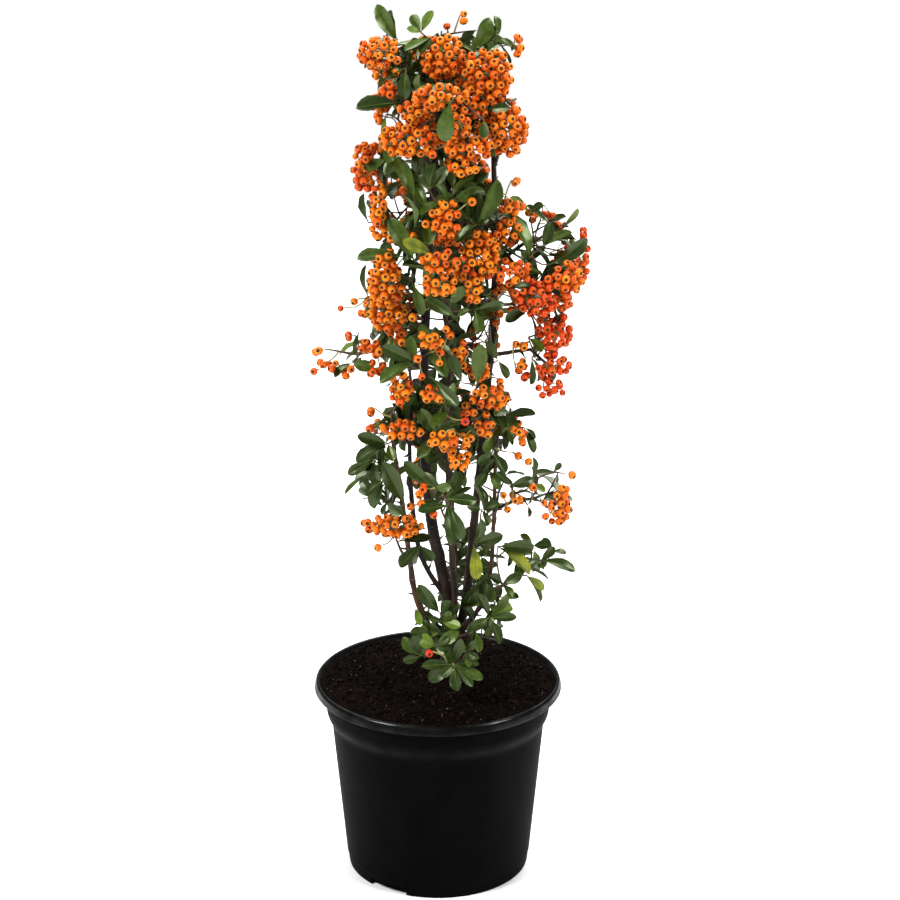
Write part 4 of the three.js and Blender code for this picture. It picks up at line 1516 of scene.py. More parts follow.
@dataclass
class Soil:
    """Peaty compost: one body that fills the pot, a lumpy top, and loose crumbs and grit on it."""

    sides: int = 150
    rings: int = 64
    radius: float = 103.0
    side: tuple[Pair, ...] = ((98.0, 169.2), (97.6, 160.0), (96.6, 148.2), (92.2, 139.2), (79.0, 3.0))
    lump: float = 1.5
    crumbs: int = 2600
    grit: int = 210
    crumb_shapes: int = 3
    crumb_least: float = 0.7
    crumb_spread: float = 1.5
    grit_size: Pair = (0.28, 0.62)
    peat_share: float = 0.72
    tan_share: float = 0.7

    def height(self, x: float, y: float) -> float:
        """The height of the top at a place, in millimetres."""
        share = min(1.0, math.hypot(x, y) / self.radius)
        lumps = noise.noise(Vector((x / 9, y / 9, 3.1))) + 0.6 * noise.noise(Vector((x / 3.6, y / 3.6, 8.4)))
        fine = 0.35 * noise.noise(Vector((x / 1.7, y / 1.7, 1.2)))
        return SOIL_LEVEL + SOIL_CROWN * (1 - share * share) + self.lump * (lumps + fine) * 0.7 - 0.4

    def build(self) -> None:
        """Make and dress the compost and what lies on it."""
        rows = []
        for k in range(1, self.rings + 1):
            flat = ring(self.sides, self.radius * k / self.rings, 0)
            rows.append([(x * MM, y * MM, self.height(x, y) * MM) for x, y, _ in flat])
        rows += [ring(self.sides, radius * MM, height * MM) for radius, height in self.side]
        middle, floor = (0, 0, self.height(0, 0) * MM), (0, 0, self.side[-1][1] * MM)
        compost = mesh_object("compost", *stacked(middle, rows, floor, downward=True))
        smooth(compost, 60)
        compost.data.materials.append(PEAT.material())
        dress(compost, ["soil"])
        self.build_crumbs()

    def build_crumbs(self) -> None:
        """Scatter crumbs of peat and bark and a few pale grains over the top."""
        stream = RandomStream(SEED + 11)
        seats = Seats()
        for k in range(self.crumbs + self.grit):
            reach = (self.radius - 3) * math.sqrt(stream.draw())
            turn = stream.between(0, math.tau)
            x, y = reach * math.cos(turn), reach * math.sin(turn)
            if k < self.crumbs:
                size = self.crumb_least + self.crumb_spread * stream.draw() ** 2.2
                tint = 0 if stream.draw() < self.peat_share else 1
            else:
                size = stream.between(*self.grit_size)
                tint = 2 if stream.draw() < self.tan_share else 3
            place = Vector((x, y, self.height(x, y) + size * 0.3))
            flat = (size, size * stream.between(0.6, 1), size * stream.between(0.5, 0.9))
            turned = Quaternion(stream.direction(), stream.between(0, 6))
            seats.append(Seat(place, turned, flat, tint, k % self.crumb_shapes))
        coats = [Coat(finish.material(), 0, k) for k, finish in enumerate(CRUMBS)]
        tray = ShapeTray("crumb", coats[0].material)
        for shape in range(self.crumb_shapes):
            bm = bmesh.new()
            bmesh.ops.create_icosphere(bm, subdivisions=1, radius=1)
            for vertex in bm.verts:
                vertex.co *= 1 + 0.45 * noise.noise(vertex.co * 1.7 + Vector((shape * 5, 0, 0)))
            bm.verts.index_update()
            vertices = [tuple(vertex.co) for vertex in bm.verts]
            faces = [tuple(vertex.index for vertex in face.verts) for face in bm.faces]
            bm.free()
            tray.add(vertices, faces, crease=30)
        crumbs = seats.scatter("compost_crumbs", ScatterTree("scatter_crumbs", coats), tray, 0.1)
        tray.clear()
        dress(crumbs, [])


# ---- trunk, stems and boughs ----


@dataclass
class Limb:
    """A trunk, stem or bough with the relief of its bark."""

    plan: LimbPlan
    route: Route
    sides: int = 22
    ring_step: float = 1.6
    buried: float = 171.0
    flare_reach: float = 12.0

    def radius(self, share: float, turn: float = 0.0) -> float:
        """The plain radius at a share of the length and a turn round it, in millimetres."""
        plan = self.plan
        taper = plan.root + (plan.tip - plan.root) * share ** 0.8
        spread = plan.flare * math.exp(-share * self.route.length / self.flare_reach)
        return taper + spread * (0.8 + 0.35 * math.cos(4 * turn))

    def relief(self, share: float, turn: float, knots: list[Triple]) -> float:
        """How far bark stands out at a place, as a share of the radius.

        Args:
            share: the share of the length.
            turn: the turn round the limb.
            knots: the length, turn and size of each knot.

        Returns:
            A share of the radius.
        """
        length = share * self.route.length
        x, y = math.cos(turn), math.sin(turn)
        ridge = noise.noise(Vector((x * 1.9, y * 1.9, length / 16 + self.plan.root)))
        flake = noise.noise(Vector((x * 4.5, y * 4.5, length / 5)))
        swell = 0.0
        for place, facing, size in knots:
            along = (length - place) / (3.2 * size)
            if abs(along) < 2.5:
                round_off = math.cos((turn - facing) / 2) ** 6
                swell += 0.34 * math.exp(-along * along) * round_off
        return 0.07 * ridge + 0.035 * flake + swell

    def build(self) -> None:
        """Make and dress the limb."""
        stream = RandomStream(SEED + len(self.plan.name) * 31 + int(self.plan.at))
        length = self.route.length
        knots = [(stream.between(0, length), stream.between(0, math.tau), stream.between(0.7, 1.5))
                 for _ in range(int(length / 17))]
        rows: list[list[Triple]] = []
        count = max(12, int(length / self.ring_step))
        shares = [k / count for k in range(count + 1)]
        middles = [self.route.at(share) for share in shares]
        side = across(middles[1] - middles[0], Vector((1, 0, 0)))
        for k, share in enumerate(shares):
            ahead = middles[min(k + 1, count)] - middles[max(k - 1, 0)]
            side = across(ahead, side)
            other = ahead.normalized().cross(side)
            if not self.plan.parent and middles[k].z < self.buried:
                continue
            row = []
            for j in range(self.sides):
                turn = j / self.sides * math.tau
                reach = self.radius(share, turn) * (1 + self.relief(share, turn, knots))
                point = middles[k] + (side * math.cos(turn) + other * math.sin(turn)) * reach
                row.append(tuple(point * MM))
            rows.append(row)
        dome = (middles[-1] - middles[-2]).normalized() * self.plan.tip * 0.5
        start, end = tuple(middles[-len(rows)] * MM), tuple((middles[-1] + dome) * MM)
        limb = mesh_object(f"{self.plan.name}_bark", *stacked(start, rows, end))
        smooth(limb, 75)
        limb.data.materials.append(BARKS.get(self.plan.name, BARKS["other"]).material())
        dress(limb, [self.plan.name])


@dataclass
class Skeleton:
    """All the limbs and the short thorns on them."""

    thorn_step: float = 11.0
    thorn_length: Pair = (4.5, 9.0)
    thorn_sides: int = 6
    thorn_rings: tuple[Triple, ...] = (
        (1.35, 0.0, 0.0), (0.95, 0.12, 0.0), (0.62, 0.45, 0.25), (0.34, 0.78, 0.9),
    )
    thorn_point: Triple = (1.5, 0.0, 1.0)
    routes: dict[str, Route] = field(default_factory=dict)

    def build(self) -> None:
        """Work out the routes, then make the limbs and the thorns."""
        seats = Seats()
        for number, plan in enumerate(LIMBS):
            points = [Vector(p) for p in plan.route]
            if plan.parent:
                points.insert(0, self.routes[plan.parent].at_height(plan.at))
            limb = Limb(plan, Route(points))
            self.routes[plan.name] = limb.route
            limb.build()
            self.seat_thorns(limb, seats, RandomStream(SEED + 100 + number))
        self.build_thorns(seats)

    def seat_thorns(self, limb: Limb, seats: Seats, stream: RandomStream) -> None:
        """Choose where the thorns of one limb stand.

        Args:
            limb: the limb.
            seats: where the places are kept.
            stream: the numbers that the choice follows.
        """
        place = stream.between(0.3, 1) * self.thorn_step
        while place < limb.route.length - 4:
            share = place / limb.route.length
            middle = limb.route.at(share)
            ahead = (limb.route.at(min(1, share + 0.02)) - limb.route.at(max(0, share - 0.02))).normalized()
            side = across(ahead, stream.direction())
            lean = (side + ahead * stream.between(0.15, 0.6)).normalized()
            if middle.z > SOIL_LEVEL + 6:
                size = stream.between(*self.thorn_length)
                foot = middle + side * limb.radius(share) * 0.8
                seats.append(Seat(foot, lean.to_track_quat("Z", "Y"), (size * 0.17, size * 0.17, size)))
            place += self.thorn_step * stream.between(0.5, 1.6)

    def build_thorns(self, seats: Seats) -> None:
        """Stand a thorn on every seat.

        Args:
            seats: the places.
        """
        horn = THORN_HORN.material()
        tray = ShapeTray("thorn", horn)
        rows = [ring(self.thorn_sides, *row) for row in self.thorn_rings]
        tray.add(*stacked(None, rows, self.thorn_point))
        thorns = seats.scatter("thorns", ScatterTree("scatter_thorns", [Coat(horn, 0, 0)]), tray, 0.15)
        tray.clear()
        dress(thorns, [])


# ---- crown ----


@dataclass
class Strands:
    """Thin lines that become twigs and stalks: their points, thickness and cover."""

    points: list[Triple] = field(default_factory=list)
    edges: list[tuple[int, int]] = field(default_factory=list)
    radii: list[float] = field(default_factory=list)
    covers: list[int] = field(default_factory=list)

    def add(self, line: list[Vector], root: float, tip: float, cover: Wood) -> None:
        """Add a line that tapers.

        Args:
            line: its points in millimetres.
            root: its radius at the start.
            tip: its radius at the end.
            cover: what it is covered in.
        """
        first = len(self.points)
        for k, point in enumerate(line):
            self.points.append(tuple(point * MM))
            self.radii.append(root + (tip - root) * k / (len(line) - 1))
            self.covers.append(cover.value)
            if k:
                self.edges.append((first + k - 1, first + k))

    def tubes(self, name: str, sides: int, coats: list[Coat]) -> Piece:
        """The lines as one piece of round twigs.

        Args:
            name: the piece's name.
            sides: how many sides a twig has.
            coats: the covers.

        Returns:
            The piece.
        """
        piece = mesh_object(name, self.points, [], self.edges)
        label(piece, "thickness", "FLOAT", self.radii)
        label(piece, "tint", "INT", self.covers)
        settle(piece, TubeTree(f"tubes_{name}", coats).tree, {"Sides": sides, "Radius": MM})
        return piece


def arc(start: Vector, end: Vector, lift: Vector, spans: int) -> list[Vector]:
    """A curved line between two points.

    Args:
        start: where it begins.
        end: where it ends.
        lift: how far its middle is pushed aside.
        spans: how many straight spans it has.

    Returns:
        Its points.
    """
    middle = (start + end) / 2 + lift * 2
    line = []
    for k in range(spans + 1):
        t = k / spans
        line.append(start * (1 - t) ** 2 + middle * 2 * t * (1 - t) + end * t ** 2)
    return line


class LeafShapes:
    """The outlines of a leaf, broadest past its middle, with a blunt tip: flat, arched, cupped and curled."""

    stations = ((0.0, 0.030), (0.10, 0.050), (0.24, 0.22), (0.42, 0.385), (0.60, 0.485), (0.76, 0.485),
                (0.89, 0.385), (0.965, 0.22), (1.0, 0.0))
    rib = 0.045
    thickness = 0.016
    bends = ((0.20, 0.10, 0.00), (0.30, 0.30, 0.03), (0.44, 0.18, 0.06), (0.34, 0.55, 0.09))

    def tray(self, coat: bpy.types.Material) -> ShapeTray:
        """All the shapes on one tray.

        Args:
            coat: the material that their slots start with.

        Returns:
            The tray.
        """
        tray = ShapeTray("leaf", coat)
        for fold, droop, wave in self.bends:
            tray.add(*self.outline(fold, droop, wave), crease=70)
        return tray

    def outline(self, fold: float, droop: float, wave: float) -> tuple[list, list, list]:
        """One leaf of length 1 along Y and width 1 across X, its top towards Z.

        Args:
            fold: how far the halves rise from the rib.
            droop: how far the tip bends down.
            wave: how far the edge ripples.

        Returns:
            Its vertices, its faces, and the part of each face: 0 top, 1 underside, 2 rib.
        """
        vertices: list[Triple] = []
        for k, (along, half) in enumerate(self.stations):
            rib = min(half, self.rib * (1.15 - along))
            sag = -droop * along ** 2.2
            ripple = wave * math.sin(k * 2.1)
            edge = sag + fold * half * 0.6 + ripple * half
            y = along - 0.10 * droop * along ** 3
            vertices.extend((
                (-half, y, edge), (-rib, y, sag), (rib, y, sag), (half, y, edge - 2 * ripple * half),
                (0.0, y, sag - self.thickness * (1.6 - along)),
            ))
        faces: list[tuple[int, ...]] = []
        parts: list[int] = []
        for a in range(0, len(vertices) - 5, 5):
            b = a + 5
            strips = (((a, a + 1, b + 1), 0), ((a, b + 1, b), 0), ((a + 1, a + 2, b + 2, b + 1), 2),
                      ((a + 2, a + 3, b + 2), 0), ((a + 3, b + 3, b + 2), 0),
                      ((a, b + 4, a + 4), 1), ((a, b, b + 4), 1),
                      ((a + 3, a + 4, b + 4), 1), ((a + 3, b + 4, b + 3), 1))
            faces += [face for face, _ in strips]
            parts += [part for _, part in strips]
        return self.welded(vertices, [*faces, (0, 4, 3, 2, 1)], [*parts, 1])

    @staticmethod
    def welded(vertices: list, faces: list, parts: list) -> tuple[list, list, list]:
        """Join points that fall together and drop what loses its area.

        Args:
            vertices: the points.
            faces: the faces.
            parts: the part of each face.

        Returns:
            The same three lists, shortened.
        """
        places: dict[Triple, int] = {}
        renumber, kept, shown, labels = [], [], [], []
        for vertex in vertices:
            key = tuple(round(c, 5) for c in vertex)
            if key not in places:
                places[key] = len(kept)
                kept.append(vertex)
            renumber.append(places[key])
        for face, part in zip(faces, parts):
            corners = [renumber[v] for v in face]
            corners = [v for k, v in enumerate(corners) if v != corners[k - 1]]
            if len(set(corners)) == len(corners) >= 3:
                shown.append(tuple(corners))
                labels.append(part)
        return kept, shown, labels


class BerryShape:
    """A flattened round fruit with the dark five-lobed remains of its flower at the end."""

    sides = 9
    pole = (0.0, 0.0, -0.92)
    rings = ((0.60, -0.74), (0.97, -0.22), (0.94, 0.34), (0.74, 0.66), (0.54, 0.82), (0.34, 0.79))
    ring_parts = (0, 0, 0, 0, 1, 1)
    eye_part = 2
    star_reaches = (0.58, 0.27)
    star_height = 0.87
    star_middle = (0.0, 0.0, 0.79)

    def tray(self, coat: bpy.types.Material) -> ShapeTray:
        """The fruit on a tray, of radius 1, its eye towards Z.

        Args:
            coat: the material that its slot starts with.

        Returns:
            The tray.
        """
        vertices, faces = stacked(self.pole, [ring(self.sides, *row) for row in self.rings], None)
        parts = [*self.ring_parts * self.sides, self.eye_part]
        first = len(vertices)
        circles = [ring(10, reach, self.star_height) for reach in self.star_reaches]
        vertices += [self.star_middle, *(circles[k % 2][k] for k in range(10))]
        faces += [(first, first + 1 + k, first + 1 + (k + 1) % 10) for k in range(10)]
        tray = ShapeTray("berry", coat)
        tray.add(vertices, faces, parts + [self.eye_part] * 10, crease=80)
        return tray


@dataclass
class Crown:
    """The masses of foliage: stems and twigs that grow on from the limbs, with leaves, stalks and berries.

    The mass that is growing is kept in plan, and the numbers that its growth follows come from stream.
    """

    routes: dict[str, Route]
    plan: MassPlan = MASSES[0]
    stream: RandomStream = field(default_factory=lambda: RandomStream(SEED + 1))
    margin: float = 0.035
    stem_radii: Pair = (1.8, 0.7)
    stem_sag: float = 0.08
    twig_radius: float = 0.9
    twig_taper: float = 0.62
    twig_lift: Pair = (-0.10, 0.04)
    twig_sway: float = 0.06
    stalk_radii: tuple[Pair, Pair] = ((0.62, 0.5), (0.46, 0.40))
    berry_radius: float = 3.7
    berry_largest: float = 1.06
    berry_shrink: float = 0.24
    berry_flatness: Pair = (0.86, 0.95)
    berry_closeness: float = 0.86
    berry_sway: float = 0.42
    berry_tries: int = 110
    fullness: float = 1.85
    truss_volume: float = 62000.0
    truss_reach: Pair = (9, 15)
    truss_depth: float = 0.74
    truss_tries: int = 14
    leaf_lengths: tuple[Pair, ...] = ((300, 33.0), (440, 37.0), (math.inf, 41.0))
    leaf_reach: Pair = (1.04, 1.25)
    leaf_breadth: float = 0.36
    leaf_broadest: float = 0.52
    leaf_breadth_spread: Pair = (0.86, 1.14)
    leaf_length_spread: Pair = (0.72, 1.0)
    leaf_sway: float = 0.25
    leaf_tries: int = 10
    spray_leaves: tuple[int, int] = (5, 7)
    spray_volume: float = 9500.0
    spray_gap: float = 10.0
    spray_depth: Pair = (0.25, 0.86)
    spray_turn: float = 2.4
    spray_tries: int = 12
    leaf_room: float = 1.3
    leaf_sight: float = 1.8
    front_share: float = 0.25
    berry_pieces: int = 3
    twigs: Strands = field(default_factory=Strands)
    stalks: Strands = field(default_factory=Strands)
    leaves: Seats = field(default_factory=Seats)
    berries: Seats = field(default_factory=Seats)
    thicket: Thicket = field(default_factory=Thicket)
    sight: Sight = field(default_factory=Sight)
    wood: dict[str, list[Vector]] = field(default_factory=dict)
    ends: list[Vector] = field(default_factory=list)

    def build(self) -> None:
        """Grow every mass, then make and dress the pieces."""
        for route in self.routes.values():
            for k in range(int(route.length / 4) + 1):
                self.thicket.put(route.at(min(1.0, k * 4 / route.length)), 2.0)
        for plan in MASSES:
            self.plan = plan
            self.grow_stem()
        masses = {plan.name.removeprefix("foliage_"): plan for plan in MASSES}
        for name, sprays in SPRAYS.items():
            self.plan = masses[name]
            for base, *leaves in sprays:
                self.grow_planned_spray(Vector(base), leaves)
        for name, trusses in TRUSSES.items():
            self.plan = masses[name]
            for x, y, z, *truss in trusses:
                self.grow_planned_truss(Vector((x, y, z)), *truss)
        for seed, grow in ((SEED + 300, self.grow_side_trusses), (SEED + 500, self.fill_with_leaves)):
            for number, plan in enumerate(MASSES):
                self.plan, self.stream = plan, RandomStream(seed + number)
                grow()
        self.build_pieces()

    def owns(self, point: Vector) -> bool:
        """Whether a point lies in the mass's space, and no other mass's space is nearer."""
        mine = self.plan.depth(point)
        others = (plan for plan in MASSES if plan is not self.plan)
        return mine < 1 and all(mine + self.margin < other.depth(point) for other in others)

    def grow_stem(self) -> None:
        """Grow the stem of a mass on from its limb, as the solids' rule does."""
        root = self.routes[self.plan.limb].at_height(self.plan.at)
        middle = Vector(self.plan.middle)
        bow = (root + middle) / 2
        bow.z -= self.stem_sag * (middle - root).length
        onward = middle - root
        onward.z = max(6.0, 0.6 * onward.z)
        onward.normalize()
        room = 2.0
        while room < 60 and self.owns(middle + onward * room):
            room += 2.0
        stem = Route([root, bow, middle, middle + onward * max(3.0, 0.25 * room)])
        self.twigs.add([stem.at(k / 12) for k in range(13)], *self.stem_radii, Wood.BARK)
        self.wood[self.plan.name] = [stem.at(0.25 + 0.75 * k / 30) for k in range(31)]

    def nearest_wood(self, end: Vector) -> Vector:
        """The place on the mass's wood that a twig best grows from, rather inside its end than outside.

        Args:
            end: where the twig ends.

        Returns:
            The place.
        """
        away = outward(end, 0.3)
        return min(self.wood[self.plan.name],
                   key=lambda place: (end - place).length - 0.6 * (end - place).dot(away))

    def grow_twig(self, end: Vector, radius: float, cover: Wood = Wood.BARK) -> None:
        """Grow a twig from the mass's wood.

        Args:
            end: where it ends.
            radius: its radius at the root.
            cover: what it is covered in.
        """
        start = self.nearest_wood(end)
        reach = (end - start).length
        lift = across(end - start, UP) * reach * self.stream.between(*self.twig_lift)
        lift += across(end - start, self.stream.direction()) * reach * self.twig_sway
        line = arc(start, end, lift, max(3, min(7, int(reach / 6))))
        self.twigs.add(line, radius, radius * self.twig_taper, cover)
        self.wood[self.plan.name].extend(line[1:])
        for point in line[1:-1]:
            self.thicket.put(point, 0.6)

    # -- leaves --

    @staticmethod
    def leaf_balls(base: Vector, way: Vector, side: Vector, length: float, breadth: float) -> list[Vector]:
        """Places on a leaf that have to be clear of the rest.

        Args:
            base: where it is fastened.
            way: its direction.
            side: the direction across it.
            length: its length.
            breadth: its width as a share of its length.

        Returns:
            Places in millimetres.
        """
        half = side * (length * breadth * 0.33)
        found = [base + way * length * share for share in (0.25, 0.4, 0.55, 0.7, 0.85, 0.96)]
        for middle in found[1:5]:
            found += [middle + half, middle - half]
        return found

    def seat_leaf(self, base: Vector, way: Vector, normal: Vector, length: float, breadth: float,
                  tint: LeafTint, shape: int, in_view: bool = False) -> None:
        """Add a leaf and fill its space.

        Args:
            base: where it is fastened.
            way: its direction.
            normal: the direction that its top faces.
            length: its length in millimetres.
            breadth: its width as a share of its length.
            tint: its green.
            shape: which of the shapes it has.
            in_view: whether it stays in view from EYE.
        """
        up = across(way, normal)
        side = way.cross(up).normalized()
        turn = Matrix((side, way.normalized(), up)).transposed().to_quaternion()
        self.leaves.append(Seat(base, turn, (length * breadth, length, length), tint.value, shape))
        for point in self.leaf_balls(base, way.normalized(), side, length, breadth):
            self.thicket.put(point, 1.1)
            if in_view:
                self.sight.keep_in_view(point, 2.0)

    def grow_planned_spray(self, base: Vector, leaves: list[tuple]) -> None:
        """Grow one of the sprays whose leaves have their places.

        Args:
            base: its twig's end.
            leaves: each leaf's tip, tint and breadth.
        """
        self.grow_twig(base, 0.95)
        self.ends.append(base)
        for x, y, z, tint, broad in leaves:
            tip = Vector((x, y, z))
            way = tip - base
            facing = outward((tip + base) / 2, 0.75) + Vector((0, -0.45, 0.1))
            facing += self.stream.direction() * 0.5
            shape = min(3, int(self.stream.draw() * 3.2))
            breadth = min(self.leaf_breadth * broad * max(1.0, 26 / way.length), self.leaf_broadest)
            length = way.length * 1.06
            self.seat_leaf(base, way.normalized(), facing, length, breadth, tint, shape, in_view=True)

    def try_leaf(self, base: Vector, toward: Vector, tint: LeafTint, longest: float) -> bool:
        """Add a leaf near a direction if there is room for it.

        Args:
            base: where it is fastened.
            toward: the direction that is wanted.
            tint: its green.
            longest: its greatest length.

        Returns:
            True if it was added.
        """
        stream = self.stream
        for attempt in range(self.leaf_tries):
            way = (toward + stream.direction() * (self.leaf_sway + 0.08 * attempt)).normalized()
            length = longest * stream.between(*self.leaf_length_spread) * (1 - 0.04 * attempt)
            tip = base + way * length
            if self.plan.depth(tip) > self.leaf_reach[self.plan.behind] or tip.z < SOIL_LEVEL + 6:
                continue
            normal = outward(base, 0.3) * 0.7 + UP * 0.8 + stream.direction() * 0.5
            breadth = self.leaf_breadth * stream.between(*self.leaf_breadth_spread)
            balls = self.leaf_balls(base, way, way.cross(across(way, normal)), length, breadth)
            if all(self.thicket.is_free(ball, self.leaf_room) and self.sight.allows(ball, self.leaf_sight)
                   for ball in balls):
                self.seat_leaf(base, way, normal, length, breadth, tint, min(3, int(stream.draw() * 3.6)))
                return True
        return False

    def spray_tint(self, height: float) -> LeafTint:
        """The green of a whole spray: paler towards the crown and darker low down, which paints the light from
        above and the shade on the lower leaves.
        """
        draw = self.stream.draw()
        # Painted light and shade: the higher the spray, the more often it gets a paler green; low sprays
        # mostly get the dark one.
        rise = max(0.0, min(1.0, (height - 380) / 340))
        for tint, most in ((G, 0.004), (Y, 0.04 + 0.14 * rise), (M, 0.20 + 0.58 * rise)):
            if draw < most:
                return tint
        return D

    def fill_with_leaves(self) -> None:
        """Fill a mass with sprays of leaves wherever it is still open."""
        plan, stream = self.plan, self.stream
        wanted = round(plan.volume / self.spray_volume * plan.cover)
        longest = next(length for top, length in self.leaf_lengths if plan.middle[2] < top)
        made = 0
        for _ in range(wanted * self.spray_tries):
            if made == wanted:
                break
            direction = stream.direction()
            end = plan.place(direction, stream.between(*self.spray_depth))
            crowded = any((end - other).length < self.spray_gap for other in self.ends)
            if crowded or end.z < SOIL_LEVEL + 9 or not self.owns(end):
                continue
            if not (self.thicket.is_free(end, 1.2) and self.sight.allows(end, 1.0)):
                continue
            made += 1
            if outward(end, 0.0).y < -0.3 and stream.draw() > self.front_share:
                continue
            ahead = (end - self.nearest_wood(end)).normalized()
            if self.grow_rosette(end, ahead, self.spray_tint(end.z), longest) > 1:
                self.ends.append(end)
                self.grow_twig(end, self.twig_radius)

    def grow_rosette(self, end: Vector, ahead: Vector, tint: LeafTint, longest: float) -> int:
        """Grow the leaves of one spray round its twig's end.

        Args:
            end: the twig's end.
            ahead: the direction that the twig ends in.
            tint: their green.
            longest: the greatest length.

        Returns:
            How many leaves found room.
        """
        axis = (ahead * 0.6 + outward(end, 0.45)).normalized()
        side = across(axis, self.stream.direction())
        least, most = self.spray_leaves
        seated = 0
        for k in range(least + int(self.stream.draw() * (most - least + 1))):
            around = Quaternion(axis, k * self.spray_turn).to_matrix() @ side
            toward = (around * 0.95 + axis * self.stream.between(0.25, 0.9)).normalized()
            seated += self.try_leaf(end, toward, tint, longest)
        return seated

    # -- berries --

    def seat_berry(self, centre: Vector, axis: Vector, tint: BerryTint) -> None:
        """Add a berry and fill its space.

        Args:
            centre: its middle.
            axis: the direction that its eye faces.
            tint: its ripeness.
        """
        stream = self.stream
        turn = axis.to_track_quat("Z", "Y") @ Quaternion((0, 0, 1), stream.between(0, math.tau))
        radius = self.berry_radius * (self.berry_largest - self.berry_shrink * stream.draw() ** 1.6)
        flat = (radius, radius, radius * stream.between(*self.berry_flatness))
        self.berries.append(Seat(centre, turn, flat, tint.value))
        self.thicket.put(centre, radius)

    def grow_truss(self, centre: Vector, half: Triple, out: Vector, count: int, tint: BerryTint,
                   in_view: bool = False) -> None:
        """Grow a truss of berries over the outer side of a rounded form.

        Args:
            centre: the middle of the form.
            half: its half sizes.
            out: the direction that it faces.
            count: how many berries are wanted.
            tint: their ripeness.
            in_view: whether it has its place and stays in view from EYE.
        """
        stream = self.stream
        hub = centre - out * (min(half) * 0.5 + 5)
        places: list[Vector] = []
        for _ in range(count * self.berry_tries):
            if len(places) == count:
                break
            way = stream.direction()
            if way.dot(out) < -0.3:
                continue
            reach = 1 - 0.5 * stream.draw() ** 2
            place = centre + Vector([way[k] * half[k] * reach for k in range(3)])
            if not in_view:
                room = self.sight.allows(place, self.berry_radius + 2.5)
                if self.plan.depth(place) >= 0.97 or not room:
                    continue
            if self.thicket.is_free(place, self.berry_radius * self.berry_closeness):
                axis = (place - hub).normalized() + stream.direction() * self.berry_sway - UP * 0.1
                self.seat_berry(place, axis.normalized(), self.ripeness(tint))
                if in_view:
                    self.sight.keep_in_view(place, self.berry_radius * 0.8)
                places.append(place)
        if places:
            self.grow_twig(hub, 0.85, Wood.GREEN if count < 8 else Wood.BARK)
            self.ends.append(hub)
            self.grow_stalks(hub, places)

    def ripeness(self, tint: BerryTint) -> BerryTint:
        """A truss's own tint, or now and then that of a berry that ripened sooner or later."""
        draw = self.stream.draw()
        if tint is S:
            return S
        if tint is R:
            return P if draw < 0.22 else R
        shares = ((A, 0.22), (P, 0.42), (tint, 0.85), (O, 1.0))
        return next(other for other, most in shares if draw < most)

    def grow_stalks(self, hub: Vector, places: list[Vector]) -> None:
        """Join the berries of a truss to its hub by branching stalks.

        Args:
            hub: where the stalks start.
            places: the berries' middles.
        """
        branches = max(1, round(len(places) / 5))
        seeds = [places[int(self.stream.draw() * len(places)) % len(places)] for _ in range(branches)]
        groups: list[list[Vector]] = [[] for _ in seeds]
        for place in places:
            nearest = min(range(branches), key=lambda k: (seeds[k] - place).length)
            groups[nearest].append(place)
        for group in filter(None, groups):
            fork = hub + (sum(group, Vector()) / len(group) - hub) * 0.5
            self.stalks.add(arc(hub, fork, UP * 0.6, 3), *self.stalk_radii[0], Wood.GREEN)
            for place in group:
                foot = place - (place - hub).normalized() * self.berry_radius * 0.8
                lift = across(foot - fork, UP) * (foot - fork).length * self.stream.between(0.02, 0.12)
                self.stalks.add(arc(fork, foot, lift, 4), *self.stalk_radii[1], Wood.GREEN)

    def grow_planned_truss(self, centre: Vector, wide: float, high: float, berries: int,
                           tint: BerryTint = O) -> None:
        """Grow one of the trusses that have their places.

        Args:
            centre: its middle.
            wide: its half width.
            high: its half height.
            berries: how many berries it shows.
            tint: their ripeness.
        """
        inset = self.berry_radius * 0.7
        half = (max(1.0, wide - inset), 0.55 * (wide + high) * 0.5 + 3, max(1.0, high - inset))
        out = (outward(centre, 0.0) + Vector((0, -0.5, 0))).normalized()
        count = berries if berries < 10 else round(berries * self.fullness)
        self.grow_truss(centre, half, out, count, tint, in_view=True)

    def grow_side_trusses(self) -> None:
        """Grow the trusses of a mass's sides and back, where nothing has its place yet."""
        plan, stream = self.plan, self.stream
        x, _, z = plan.middle
        if z < 300:
            return
        share = (1.15 if plan.behind else 0.9) * (1.25 if z > 480 else 0.8)
        wanted = round(plan.volume / self.truss_volume * share)
        made = 0
        for _ in range(wanted * self.truss_tries):
            if made == wanted:
                break
            way = stream.direction()
            centre = plan.place(way, self.truss_depth)
            out = outward(centre, 0.1)
            if out.y < -0.25 or way.dot(out) < 0.2 or not self.owns(centre):
                continue
            reach = stream.between(*self.truss_reach)
            if any((centre - other).length < reach * 1.1 for other in self.ends):
                continue
            half = (reach, reach * 0.85, reach * stream.between(0.8, 1.15))
            count = round(reach * stream.between(1.4, 2.0))
            self.grow_truss(centre, half, out, count, R if x > 90 and z > 440 else O)
            made += 1

    # -- pieces --

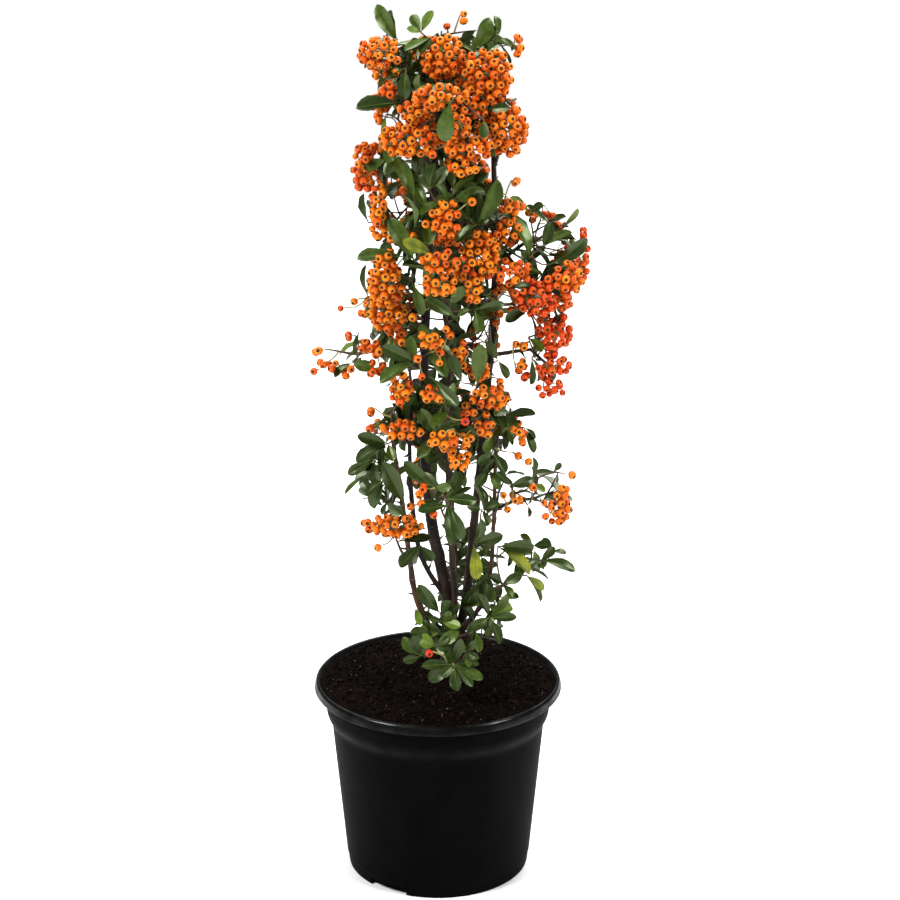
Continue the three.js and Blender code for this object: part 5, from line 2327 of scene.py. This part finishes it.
    def build_pieces(self) -> None:
        """Turn what has grown into pieces, each kind apart."""
        masses = [plan.name for plan in MASSES]
        log.info("%d leaves, %d berries", len(self.leaves), len(self.berries))
        barks = [Coat(TWIG_BARK.material(), 0, Wood.BARK.value)]
        barks.append(Coat(TWIG_GREEN.material(), 0, Wood.GREEN.value))
        dress(self.twigs.tubes("twigs", 6, barks), masses)
        dress(self.stalks.tubes("berry_stalks", 4, barks), masses)
        underside, rib, eye = LEAF_UNDERSIDE.material(), LEAF_RIB.material(), BERRY_EYE.material()
        leaf_coats = {tint: (top.material(), underside, rib) for tint, top in LEAF_TOPS.items()}
        berry_coats = {tint: (skin.material(), rim.material(), eye)
                       for tint, (skin, rim) in BERRY_SKINS.items()}
        heaps = {"leaves": self.leaves}
        for number, share in enumerate(self.berries.by_height(self.berry_pieces)):
            heaps[f"berries_{number + 1}"] = share
        for kind, tray, coats, spread in (
            ("leaves", LeafShapes().tray(underside), leaf_coats, 0.03),
            ("berries", BerryShape().tray(eye), berry_coats, 0.02),
        ):
            worn = [Coat(material, part, tint.value) for tint, parts in coats.items()
                    for part, material in enumerate(parts)]
            tree = ScatterTree(f"scatter_{kind}", worn)
            for name, seats in heaps.items():
                if name.startswith(kind):
                    dress(seats.scatter(name, tree, tray, spread), masses)
            tray.clear()


# ---- studio ----


@dataclass
class Studio:
    """The camera, a plain pale floor and soft lights."""

    camera_place: Triple = (0.0107, -2.0, 1.054)
    camera_tilt: float = 71.63
    lens: float = 97.7
    sensor: float = 36.0
    floor_radius: float = 2.8
    floor_sides: int = 96
    lights: tuple[tuple, ...] = (
        ("key", (-1.9, -1.25, 2.1), (0, 0, 0.42), 0.9, 94),
        ("fill", (2.0, -1.2, 1.9), (0, 0, 0.42), 0.9, 68),
        ("front", (-0.2, -2.6, 1.5), (0, 0, 0.42), 1.2, 2),
        ("crown", (0.3, 0.9, 2.7), (0, 0, 0.42), 1.4, 60),
        ("backdrop", (0, 3.4, 3.4), (0, 3.0, 0), 4.5, 260),
    )
    sky: float = 0.19
    backing: float = 1.0

    def build(self) -> None:
        """Set up the view, the floor and the lights."""
        self.build_camera()
        floor = mesh_object("floor", ring(self.floor_sides, self.floor_radius, 0), [range(self.floor_sides)])
        floor.data.materials.append(FLOOR.material())
        for light in self.lights:
            self.build_light(*light)
        self.build_sky()
        bpy.context.scene.view_settings.view_transform = "Standard"

    def build_camera(self) -> None:
        """Make the camera at its height, looking down on the plant."""
        data = bpy.data.cameras.new("camera")
        data.sensor_width = self.sensor
        data.lens = self.lens
        camera = bpy.data.objects.new("camera", data)
        camera.location = self.camera_place
        camera.rotation_euler = (math.radians(self.camera_tilt), 0, 0)
        bpy.context.scene.collection.objects.link(camera)
        bpy.context.scene.camera = camera

    @staticmethod
    def build_light(name: str, place: Triple, target: Triple, size: float, watts: float) -> None:
        """Hang one soft square light.

        Args:
            name: the light's name.
            place: where it hangs, in metres.
            target: the place that it faces.
            size: its side in metres.
            watts: its power.
        """
        data = bpy.data.lights.new(name, "AREA")
        data.shape = "SQUARE"
        data.size = size
        data.energy = watts
        light = bpy.data.objects.new(name, data)
        light.location = place
        toward = Vector(target) - Vector(place)
        light.rotation_euler = toward.to_track_quat("-Z", "Y").to_euler()
        bpy.context.scene.collection.objects.link(light)

    def build_sky(self) -> None:
        """Surround the plant with even white light, with a white backing behind it."""
        world = bpy.data.worlds.new("studio")
        world.use_nodes = True
        sheet = NodeSheet(world.node_tree)
        seen = sheet.add("ShaderNodeLightPath")["Is Camera Ray"]
        mix = {"Factor": seen, 2: self.sky, 3: self.backing}
        strength = sheet.add("ShaderNodeMix", mix, data_type="FLOAT")[0]
        sheet.feed(world.node_tree.nodes["Background"], {"Color": (1, 1, 1, 1), "Strength": strength})
        bpy.context.scene.world = world


def main() -> None:
    """Build every piece in order."""
    logging.basicConfig(level=logging.INFO, format="%(name)s %(message)s")
    Studio().build()
    Pot().build()
    Soil().build()
    skeleton = Skeleton()
    skeleton.build()
    Crown(skeleton.routes).build()


if __name__ == "__main__":
    main()
